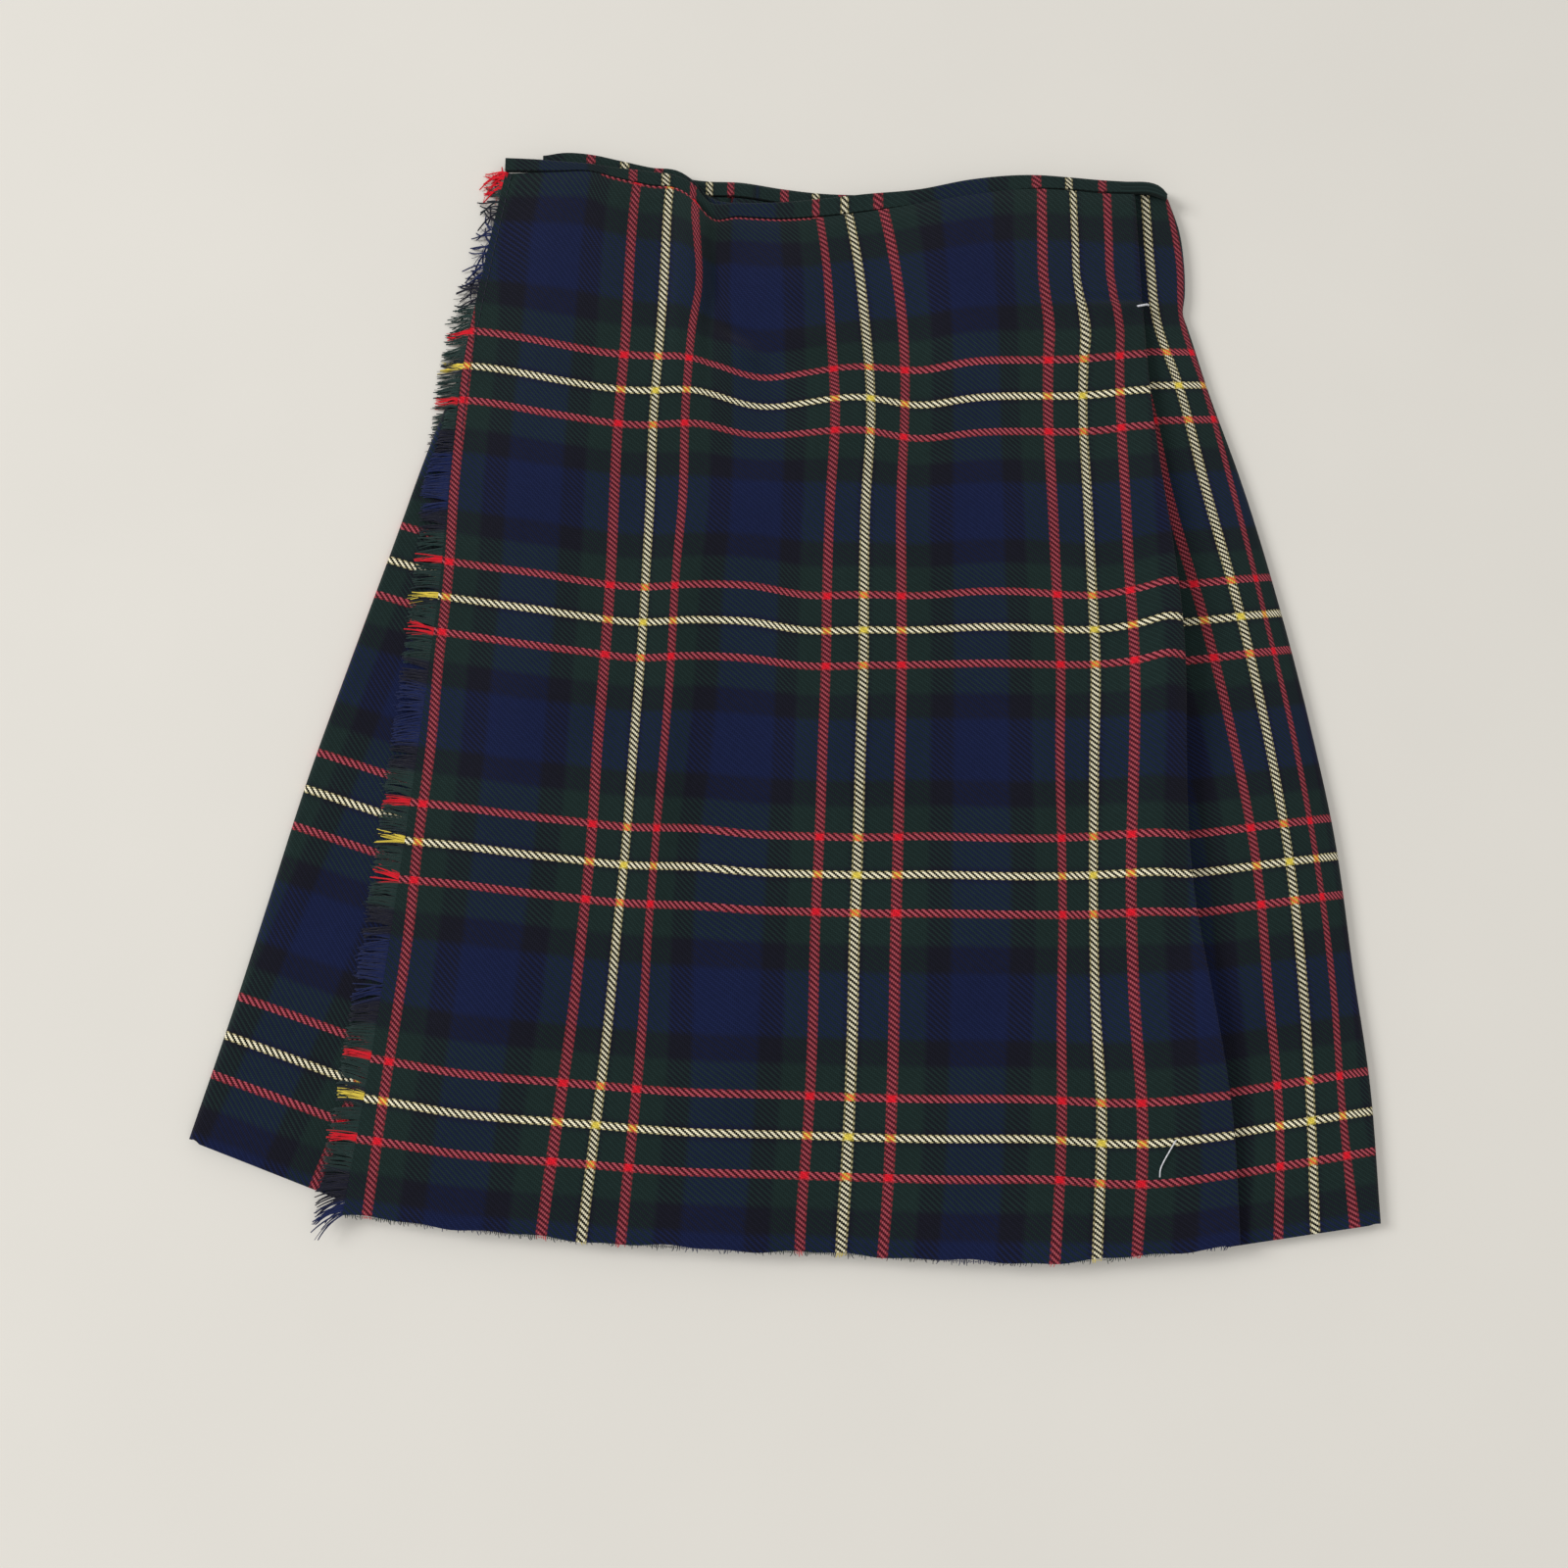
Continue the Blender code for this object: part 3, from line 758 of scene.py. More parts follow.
WAIST = (
    BandStation(-122.0, 221.8, 7.2, 224.0, 222.0, 8.0),
    BandStation(-104.0, 221.7, 6.3, 224.6, 223.0, 7.2),
    BandStation(-97.0, 221.7, 5.6, 224.8, 223.2, 8.2),
    BandStation(-84.0, 221.6, 4.6, 224.2, 222.8, 8.0),
    BandStation(-72.0, 218.4, 5.8, 221.4, 219.8, 8.0),
    BandStation(-58.0, 215.0, 7.4, 218.0, 216.6, 8.0),
    BandStation(-44.0, 212.3, 7.2, 215.4, 214.6, 8.0),
    BandStation(-38.5, 207.2, 8.8, 211.0, 213.8, 8.0),
    BandStation(-33.5, 200.2, 9.0, 205.0, 213.2, 8.0),
    BandStation(-19.0, 199.8, 7.6, 200.5, 212.6, 8.0),
    BandStation(0.0, 198.8, 8.8, 199.4, 209.4, 8.0),
    BandStation(15.0, 199.8, 9.2, 200.0, 207.4, 8.0),
    BandStation(36.0, 202.3, 9.2, 202.5, 206.4, 8.0),
    BandStation(60.0, 205.8, 8.1, 205.5, 205.8, 8.0),
    BandStation(82.0, 209.2, 9.3, 208.6, 207.8, 8.0),
    BandStation(110.0, 213.2, 7.5, 212.2, 211.4, 8.0),
    BandStation(126.0, 212.8, 6.7, 212.6, 212.2, 8.0),
    BandStation(138.0, 211.6, 6.7, 213.0, 212.8, 7.0),
    BandStation(150.0, 211.2, 6.3, 213.3, 213.2, 5.5),
    BandStation(161.0, 210.9, 6.0, 213.2, 213.0, 4.6),
    BandStation(169.0, 207.6, 6.0, 211.8, 211.4, 3.4),
)


def waist_line(name: str, x: Array) -> Array:
    """One column of the waist table read smoothly along the waist."""
    return smooth_through(column(WAIST, "x"), column(WAIST, name), x)


# Broad swells of the apron, as its solid has them, then the finer creases on them
APRON_SWELLS = (
    Spot(150.0, -70.0, 17.0, 150.0, 4.0, rise=4.2),
    Spot(150.0, 60.0, 13.0, 60.0, 0.0, rise=2.4),
    Spot(-37.0, 182.0, 9.0, 40.0, 3.0, rise=4.4),
    Spot(84.0, 176.0, 34.0, 60.0, -8.0, rise=3.4),
    Spot(-88.0, 150.0, 30.0, 80.0, 4.0, rise=2.2),
    Spot(-48.0, -30.0, 12.0, 110.0, 5.0, rise=1.8),
    Spot(70.0, -90.0, 40.0, 110.0, 0.0, rise=1.6),
    Spot(-110.0, -120.0, 26.0, 90.0, 8.0, rise=1.4),
)
APRON_CREASES = (
    Spot(-30.0, 165.0, 3.2, 34.0, 2.0, rise=-1.6),
    Spot(-45.0, 168.0, 3.6, 40.0, 2.0, rise=0.9),
    Spot(-27.5, 166.0, 4.0, 18.0, -14.0, rise=-1.6),
    Spot(-18.5, 145.0, 3.6, 9.0, -60.0, rise=-1.0),
    Spot(-18.0, 136.5, 5.0, 13.0, -47.0, rise=2.4),
    Spot(0.0, 170.0, 19.0, 22.0, 0.0, rise=1.8),
    Spot(-8.0, 126.0, 9.0, 7.0, 30.0, rise=-1.4),
    Spot(-2.0, 112.0, 16.0, 9.0, 0.0, rise=-1.2),
    Spot(8.0, 142.0, 18.0, 8.0, 20.0, rise=1.0),
    Spot(146.0, 161.6, 20.0, 1.6, 0.0, rise=-0.9),
    Spot(146.0, 157.0, 20.0, 2.4, 0.0, rise=0.7),
    Spot(160.0, 10.0, 9.0, 62.0, 6.0, rise=3.4),
    Spot(168.0, -120.0, 11.0, 95.0, 4.0, rise=3.4),
    Spot(60.0, 20.0, 8.0, 90.0, 6.0, rise=0.5),
    Spot(-100.0, 20.0, 9.0, 80.0, 7.0, rise=0.6),
    Spot(100.0, -150.0, 7.0, 60.0, -4.0, rise=0.5),
    Spot(-20.0, -160.0, 10.0, 60.0, 10.0, rise=0.5),
)

APRON_SLIPS = SlipChart(
    columns=(-150.0, -127.0, -104.0, -81.0, -58.0, -35.0, -12.0, 11.0, 34.0, 57.0, 80.0, 103.0, 126.0,
             149.0, 172.0),
    rows=(216.0, 180.0, 144.0, 108.0, 72.0, 36.0, 0.0, -36.0, -72.0, -108.0, -144.0, -180.0, -216.0),
    half_x=19.0,
    half_y=30.0,
    across=(
        (0, -1, -1, 26, 22, 11, 7, 20, 24, 2, 2, 29, 7, 16, 2),
        (1, 1, 0, 24, 12, -2, 2, 0, -4, -12, 3, 41, 0, 19, 2),
        (2, -2, 0, 8, -1, 5, 2, 15, 1, -19, 1, 39, -13, -1, 1),
        (3, -2, 0, 10, 2, 16, 4, 12, -10, -1, 4, 41, 5, 2, 1),
        (7, 6, 1, 11, -3, 1, 2, 17, 8, 6, 3, 30, -2, 2, 1),
        (2, 0, 1, 9, -5, 28, 4, 15, 2, -7, 1, 20, 1, 3, 1),
        (8, 4, 2, 10, -7, 24, 3, 10, -4, -11, -1, 2, -4, -8, -1),
        (-2, -1, 3, 11, 1, 33, 3, 13, 0, -13, -1, 5, 2, -8, -1),
        (8, 1, 6, 4, -2, 57, 4, 12, -2, -13, -2, -10, 2, 1, 0),
        (-4, -1, 10, 0, 9, 53, 4, 16, -1, -13, -3, -21, 11, 1, 0),
        (0, -1, 12, -3, 5, 29, 1, 8, -2, -15, -2, -5, 13, 2, 0),
        (4, 1, 15, -2, 8, 10, -2, 6, -3, -16, -2, -4, 0, -8, -1),
        (0, 1, 16, -2, 6, 5, 2, 13, -9, -16, -3, -6, 6, -16, -1),
    ),
    down=(
        (0, 0, 0, 0, 0, 0, 0, 0, 0, 0, 0, 0, 0, 0, 0),
        (0, -1, -2, -2, -1, -2, -4, -4, -3, -1, 0, -1, 0, 0, 0),
        (-2, 2, -8, -17, -8, -4, -63, -43, -16, -21, -2, -10, -3, 2, 2),
        (-1, 13, 0, -1, 1, 34, -24, 3, 21, -33, 0, 0, -4, 5, -4),
        (-1, -1, -3, 0, -1, 8, 14, 2, -1, -4, 5, 6, -2, -3, -3),
        (0, -7, -4, -13, -12, 8, 14, -18, -2, -17, 6, 2, -20, 0, 5),
        (6, 6, -3, 4, -8, 15, 15, -5, 5, 7, 10, 6, 3, 7, 6),
        (0, -1, -3, 2, -1, 8, 5, 2, 2, 6, 3, 2, 6, 3, -3),
        (-1, 2, -3, 1, -5, 10, -5, -3, -6, 2, -3, -6, 0, 1, -17),
        (1, 7, 7, 7, 6, 11, 7, 8, 6, 8, 8, 8, 4, 4, 0),
        (-9, -17, -13, -11, -9, -8, -7, -6, -7, -6, -4, -4, -7, -5, 0),
        (-2, -10, -7, -2, -4, -7, -3, -2, -3, -1, 4, 4, -7, -8, 2),
        (3, -2, -1, 5, 3, 3, 4, 4, 5, 8, 12, 18, -2, -9, 1),
    ),
)

# Small sharp tugs at the tack's level and beside the fold's ridge
APRON_TUGS = (
    Spot(136.0, 147.0, 30.0, 11.0, 0.0, across=-1.2),
    Spot(136.0, 173.0, 30.0, 11.0, 0.0, across=0.8),
    Spot(-126.0, 192.0, 16.0, 35.0, 8.0, across=7.4),
    Spot(-20.0, 178.0, 14.0, 46.0, 0.0, across=5.4),
    Spot(-37.0, 168.0, 7.0, 16.0, 0.0, across=-3.0),
    Spot(-38.0, 203.0, 6.0, 10.0, 0.0, across=1.6),
    Spot(157.0, 18.0, 7.0, 42.0, 4.0, down=1.7),
    Spot(160.0, -82.0, 6.0, 40.0, 5.0, down=-0.6),
)


@dataclass(frozen=True)
class ApronLay:
    """How the over apron's cloth lies on the layers below."""

    knots: tuple[float, ...] = (-86.0, 0.0, SETT_ACROSS, 2 * SETT_ACROSS, 238.0)
    reach: float = 90.0            # how far down the cloth the waist's own curve is felt
    valley: float = 0.7            # the dip where the skirt is sewn to its band
    ripple: float = 0.16           # small unevenness of cloth that has been folded away
    climb: float = 30.0            # how far in from the left edge it reaches its full height
    pick_from: float = -84.0       # a red pick shows along the seam from this x
    pick_to: float = 12.0          # to this one
    pick_fade: float = 8.0
    taken_in: float = 3.6          # cloth taken in by the seam
    less_taken: float = 2.3        # less of it where the pick shows
    ease_out: float = 25.0         # how far down the taken cloth is felt
    settle: float = 30.0           # how far down the picks have their full slip

    def place(self, down: Array, across: Array) -> Array:
        """Places on the table of the apron's cloth.

        Along each of five named lines the cloth follows a smooth curve down the apron.
        Across it, each level is a smooth curve through those five places. Above 90 mm
        it bends into the curve of the waist seam, as the square of what is left to go.

        Args:
            down: levels from the waist seam.
            across: distances from the yellow line a.

        Returns:
            (levels, distances, 2) x and y.
        """
        marks = column(APRON, "down")
        names = ("edge", "a", "b", "c", "fold")
        axes = []
        for letter in "xy":
            lines = np.stack([column(APRON, f"{n}_{letter}") for n in names], axis=1)
            levels = smooth_through(marks, lines, np.concatenate([[0.0], down]))
            axes.append(smooth_through(np.array(self.knots), levels.T, across).T)
        x, y = axes
        bend = waist_line("front_seam", x[:1]) - y[:1]
        fade = np.clip(1 - down / self.reach, 0, 1)[:, None] ** 2
        return np.stack([x[1:], y[1:] + bend * fade], axis=-1)

    def height(self, x: Array, y: Array, down: Array) -> Array:
        """Height of the apron's middle.

        It is flat, lower at the left edge where no cloth is turned under, and carries
        the swells, the creases, a dip at the waist seam and a faint sine ripple.

        Args:
            x: across the kilt, mm.
            y: up the kilt, mm.
            down: levels from the waist seam, mm.

        Returns:
            Heights above the table, mm.
        """
        left = smooth_through(column(APRON, "edge_y")[::-1], column(APRON, "edge_x")[::-1], y)
        inward = np.clip((x - left) / self.climb, 0, 1)
        height = APRON_EDGE_Z + (APRON_Z - APRON_EDGE_Z) * inward
        height = height + summed(APRON_SWELLS + APRON_CREASES, "rise", x, y)
        ripple = np.sin(x / 17.0 + y / 61.0) + np.sin(y / 23.0 - x / 47.0) + np.sin((x + y) / 11.0)
        return height + self.ripple * ripple * inward - self.valley * np.exp(-((down / 3.0) ** 2))

    def threads(self, down: Array, across: Array, place: Array) -> Array:
        """Millimetres across and down the flat cloth at each point of the apron.

        Left of line a and right of line c the cloth is shared out over its own width. At
        the waist seam part of a red pick shows and elsewhere it is taken in.

        Args:
            down: levels from the waist seam, mm.
            across: distances from the yellow line a, mm.
            place: x and y of each point.

        Returns:
            (levels, distances, 2) millimetres across and down.
        """
        x, y = place[..., 0], place[..., 1]
        marks = column(APRON, "down")
        edge = smooth_through(marks, column(APRON, "edge_cloth"), down)[:, None]
        fold = smooth_through(marks, column(APRON, "fold_cloth"), down)[:, None]
        c_line, last = self.knots[3], self.knots[4]
        right = c_line + fold * np.clip((across - c_line) / (last - c_line), 0, 1)
        right = right + np.clip(across - last, 0, None)
        left = across * edge / -self.knots[0]
        over = np.where(across < 0, left, np.where(across > c_line, right, across))
        shows = ease((x - self.pick_from) / self.pick_fade) * (1 - ease((x - self.pick_to) / self.pick_fade))
        taken = (self.taken_in - self.less_taken * shows) * np.exp(-down / self.ease_out)[:, None]
        slip = APRON_SLIPS.at(x, y)
        over = over + slip[0] + summed(APRON_TUGS, "across", x, y)
        pulled = slip[1] + summed(APRON_TUGS, "down", x, y)
        settled = ease(down / self.settle)[:, None]
        return np.stack([over, down[:, None] + taken + pulled * settled], axis=-1)


@dataclass
class OverApron:
    """The front that shows: a panel with its right edge turned under."""

    lay: ApronLay = field(default_factory=ApronLay)
    rows: int = 228
    columns: int = 184
    return_width: float = 45.0
    hem_wave: float = 0.5          # how far the raw hem wanders

    def hem(self, place: Array, down: Array) -> Array:
        """Let the last millimetres before the raw hem wander as two slow sines.

        Args:
            place: (levels, distances, 2) x and y, changed in place.
            down: levels from the waist seam, mm.

        Returns:
            The same array.
        """
        near = ease((down - (HEM - 12.0)) / 12.0)[:, None]
        wave = np.sin(place[..., 0] / 9.0) + 0.6 * np.sin(place[..., 0] / 3.7 + 1.0)
        place[..., 1] += self.hem_wave * wave * near
        return place

    def build(self, finish: bpy.types.Material) -> bpy.types.Object:
        """Build the apron: its top, the half turn of its fold, and the return below.

        The fold is a half circle one layer across. The return runs back under the top at
        the top's own height less one layer.

        Args:
            finish: the cloth's material.

        Returns:
            The new piece.
        """
        down = np.linspace(0, HEM, self.rows)
        across = np.linspace(self.lay.knots[0], self.lay.knots[-1], self.columns)
        top = self.hem(self.lay.place(down, across), down)
        top_z = self.lay.height(top[..., 0], top[..., 1], down[:, None])
        turn = np.linspace(0, np.pi, 7)[1:]
        radius = LAYER / 2
        fold = np.repeat(top[:, -1:], len(turn), axis=1)
        fold[..., 0] += radius * np.sin(turn)
        fold_z = top_z[:, -1:] - radius * (1 - np.cos(turn))
        inward = np.linspace(0, self.return_width, 12)[1:]
        back = np.repeat(top[:, -1:], len(inward), axis=1)
        back[..., 0] -= inward
        back[..., 1] -= 0.02 * inward
        back_z = self.lay.height(back[..., 0], back[..., 1], down[:, None]) - LAYER
        place = np.concatenate([top, fold, back], axis=1)
        height = np.concatenate([top_z, fold_z, back_z], axis=1)
        run = np.concatenate([across, across[-1] + radius * turn,
                              across[-1] + radius * np.pi + inward])
        middle = np.concatenate([place, height[..., None]], axis=-1)
        threads = self.lay.threads(down, run, np.concatenate([top, np.repeat(top[:, -1:], len(turn)
                                                              + len(inward), axis=1)], axis=1))
        return cloth_wall("over_apron_cloth", middle, threads, finish)


# ---------------------------------------------------------------- side panels and back

@dataclass(frozen=True)
class SideLevel:
    """One level of the kilt's outer folds, with the slant and width of its side panels."""

    share: float
    left_x: float
    left_y: float
    right_x: float
    right_y: float
    sag: float
    left_slant: float
    left_width: float
    right_slant: float
    right_width: float


SIDES = (
    SideLevel(0.0, -106.0, 226.0, 169.6, 204.0, 0.0, 0.0, 60.0, 0.0, 34.0),
    SideLevel(0.03, -110.2, 213.5, 173.4, 191.2, 0.5, 1.6, 63.3, -0.0, 35.5),
    SideLevel(0.065, -115.1, 199.0, 174.8, 176.3, 1.2, 3.6, 67.3, -0.1, 37.0),
    SideLevel(0.1, -120.0, 184.4, 174.4, 161.4, 1.8, 5.5, 71.1, -0.1, 38.7),
    SideLevel(0.12, -122.8, 176.1, 173.2, 152.9, 2.2, 6.5, 73.2, -0.1, 39.9),
    SideLevel(0.135, -124.9, 169.8, 175.0, 146.5, 2.5, 7.3, 74.6, -0.1, 40.9),
    SideLevel(0.2, -134.2, 142.7, 182.0, 118.8, 3.9, 10.2, 80.0, 0.5, 47.0),
    SideLevel(0.3, -148.5, 101.0, 193.6, 76.2, 6.3, 14.0, 86.0, 2.0, 58.0),
    SideLevel(0.42, -163.3, 51.1, 205.3, 25.1, 9.3, 17.4, 89.5, 4.5, 64.6),
    SideLevel(0.55, -179.7, -3.0, 216.1, -30.3, 12.5, 19.1, 90.7, 6.2, 70.8),
    SideLevel(0.65, -192.0, -44.7, 222.8, -72.9, 15.0, 19.5, 90.0, 7.0, 74.0),
    SideLevel(0.78, -205.9, -98.8, 226.9, -128.3, 18.4, 20.0, 88.0, 7.8, 74.2),
    SideLevel(0.87, -215.5, -136.3, 230.0, -166.6, 20.3, 20.2, 83.7, 8.1, 70.9),
    SideLevel(1.0, -230.5, -190.5, 230.5, -222.0, 22.0, 20.5, 72.0, 8.2, 61.0),
)
SIDE_LEG = 8.0         # how far a side panel turns round under the kilt


def side_levels(shares: Array) -> dict[str, Array]:
    """Read the side table smoothly.

    Args:
        shares: how far down the kilt, from 0 to 1.

    Returns:
        Each column's name and its values at those shares.
    """
    marks = column(SIDES, "share")
    names = list(SideLevel.__dataclass_fields__)[1:]
    return {n: smooth_through(marks, column(SIDES, n), shares) for n in names}


@dataclass(frozen=True)
class GrainMark:
    """One place of a panel's yellow warp line.

    rise is that of the picks to the right. left and right are how far away the red
    lines beside it lie.
    """

    down: float
    x: float
    y: float
    rise: float
    left: float
    right: float


@dataclass
class RightPanel:
    """The deep pleat's face between the apron's fold and the kilt's right edge."""

    rows: int = 190
    columns: int = 54
    grain: tuple[GrainMark, ...] = (
        GrainMark(3.2, 158.9, 212.5, 0.0, 15.0, 9.5),
        GrainMark(31.0, 159.6, 179.5, 0.0, 15.0, 12.8),
        GrainMark(56.0, 161.2, 153.5, -0.02, 15.0, 11.0),
        GrainMark(86.5, 169.2, 123.4, 0.01, 14.8, 10.6),
        GrainMark(137.0, 179.2, 71.8, 0.05, 16.4, 11.2),
        GrainMark(188.0, 189.8, 20.6, 0.10, 15.3, 9.9),
        GrainMark(237.0, 197.6, -29.6, 0.12, 14.0, 10.6),
        GrainMark(289.5, 203.4, -81.8, 0.12, 13.3, 10.9),
        GrainMark(340.0, 205.6, -132.6, 0.14, 13.8, 11.8),
        GrainMark(391.0, 205.4, -183.4, 0.157, 12.3, 12.6),
        GrainMark(436.0, 204.2, -227.4, 0.16, 14.4, 15.6),
    )
    red: float = 15.0              # flat cloth between the yellow line and the red ones
    name: str = "right_side_panel_cloth"
    hand: int = 1
    swells: tuple[Spot, ...] = (
        Spot(196.0, -60.0, 9.0, 110.0, -3.0, rise=0.5),
        Spot(214.0, -120.0, 8.0, 60.0, -2.0, rise=0.6),
        Spot(184.0, 60.0, 7.0, 50.0, -14.0, rise=0.5),
    )

    def threads(self, x: Array, y: Array) -> Array:
        """Millimetres across and down the cloth: measured from the yellow line D.

        Sliding down its own pick to the line gives the level. The sideways distance to
        the line, as a share of that to the red line on its left, gives the distance across.
        Right of it the cloth curls down at the pleat's edge, so the share grows as a square.

        Args:
            x: across the kilt, mm.
            y: up the kilt, mm.

        Returns:
            The same places with millimetres across and down in a last axis.
        """
        marks = -column(self.grain, "y")
        line = smooth_through(marks, column(self.grain, "x"), -y)
        level = y - smooth_through(marks, column(self.grain, "rise"), -y) * (x - line)
        line = smooth_through(marks, column(self.grain, "x"), -level)
        down = smooth_through(marks, column(self.grain, "down"), -level)
        left, right = (smooth_through(marks, column(self.grain, n), -level) for n in ("left", "right"))
        off = x - line
        over = off * self.red / left
        curled = off + (self.red - right) * (off / right) ** 2
        return np.stack([np.where(off < 0, over, curled), down], axis=-1)

    def build(self, finish: bpy.types.Material) -> bpy.types.Object:
        """Build the panel: flat from under the apron, round the outer edge, and under.

        Inward is the distance from the outer edge. The edge is a half circle between the
        panel's height and the back's, and developed is the distance along the cloth.

        Args:
            finish: the cloth's material.

        Returns:
            The new piece.
        """
        shares = np.linspace(0, 1, self.rows)
        side = side_levels(shares)
        prefix = "left" if self.hand < 0 else "right"
        turn = np.linspace(0, np.pi, 11)
        radius = (SIDE_Z - BACK_Z) / 2
        out = CLOTH / 2 + radius
        width = side[f"{prefix}_width"][:, None]
        upper = out + (width - out) * np.linspace(1, 0, self.columns)[:-1]
        bend = np.broadcast_to(out - radius * np.sin(turn), (self.rows, len(turn)))
        leg = np.broadcast_to(np.array([out + 1.5, SIDE_LEG]), (self.rows, 2))
        inward = np.concatenate([upper, bend, leg], axis=1)
        arc = np.broadcast_to(out - radius * turn, (self.rows, len(turn)))
        developed = np.concatenate([upper, arc, out - radius * np.pi - (leg - out)], axis=1)
        z = np.concatenate([np.full(upper.shape[1], SIDE_Z), BACK_Z + radius * (1 + np.cos(turn)),
                            np.full(2, BACK_Z)])
        slant = np.radians(side[f"{prefix}_slant"])[:, None]

        def across(distance: Array) -> tuple[Array, Array]:
            """Find places inward from the outer edge, along the slanted picks.

            Args:
                distance: millimetres inward, one row for each share.

            Returns:
                x and y.
            """
            lean = slant * np.clip(distance / out - 1, 0, 1)
            x = side[f"{prefix}_x"][:, None] - self.hand * distance * np.cos(lean)
            y = side[f"{prefix}_y"][:, None] - distance * np.sin(lean)
            waist = np.minimum(waist_line("back_seam", x), waist_line("under_seam", x)) - SEAM_GAP
            return x, y + (waist - side[f"{prefix}_y"][0]) * (1 - shares[:, None]) ** 4

        x, y = across(inward)
        z = z + np.where(z > SIDE_Z - 0.01, summed(self.swells, "rise", x, y), 0)
        middle = np.stack([x, y, z], axis=-1)
        threads = self.threads(*across(developed))
        if self.hand < 0:
            middle, threads = middle[:, ::-1], threads[:, ::-1]
        return cloth_wall(self.name, middle, threads, finish)


@dataclass
class LeftPanel(RightPanel):
    """The side panel that shows left of the fringe, its grain turned from the apron's."""

    rows: int = 170
    name: str = "left_side_panel_cloth"
    hand: int = -1
    mark_x: float = -192.5         # a place on the third yellow pick
    mark_y: float = -52.0
    mark_down: float = 289.5
    mark_across: float = 18.9      # cloth between that place and a yellow warp line
    turn_hip: float = 16.5
    turn_hem: float = 19.5
    swells: tuple[Spot, ...] = (
        Spot(-190.0, -80.0, 8.0, 70.0, 15.0, rise=0.5),
        Spot(-214.0, -150.0, 7.0, 40.0, 14.0, rise=0.5),
    )

    def threads(self, x: Array, y: Array) -> Array:
        """Millimetres across and down: the place turned by the grain's own angle.

        Args:
            x: across the kilt, mm.
            y: up the kilt, mm.

        Returns:
            The same places with millimetres across and down in a last axis.
        """
        turn = np.radians(self.turn_hip + (self.turn_hem - self.turn_hip) * np.clip((100 - y) / 300, 0, 1))
        ahead, above = x - self.mark_x, y - self.mark_y
        across = self.mark_across + ahead * np.cos(turn) - above * np.sin(turn)
        down = self.mark_down - ahead * np.sin(turn) - above * np.cos(turn)
        return np.stack([across, down], axis=-1)


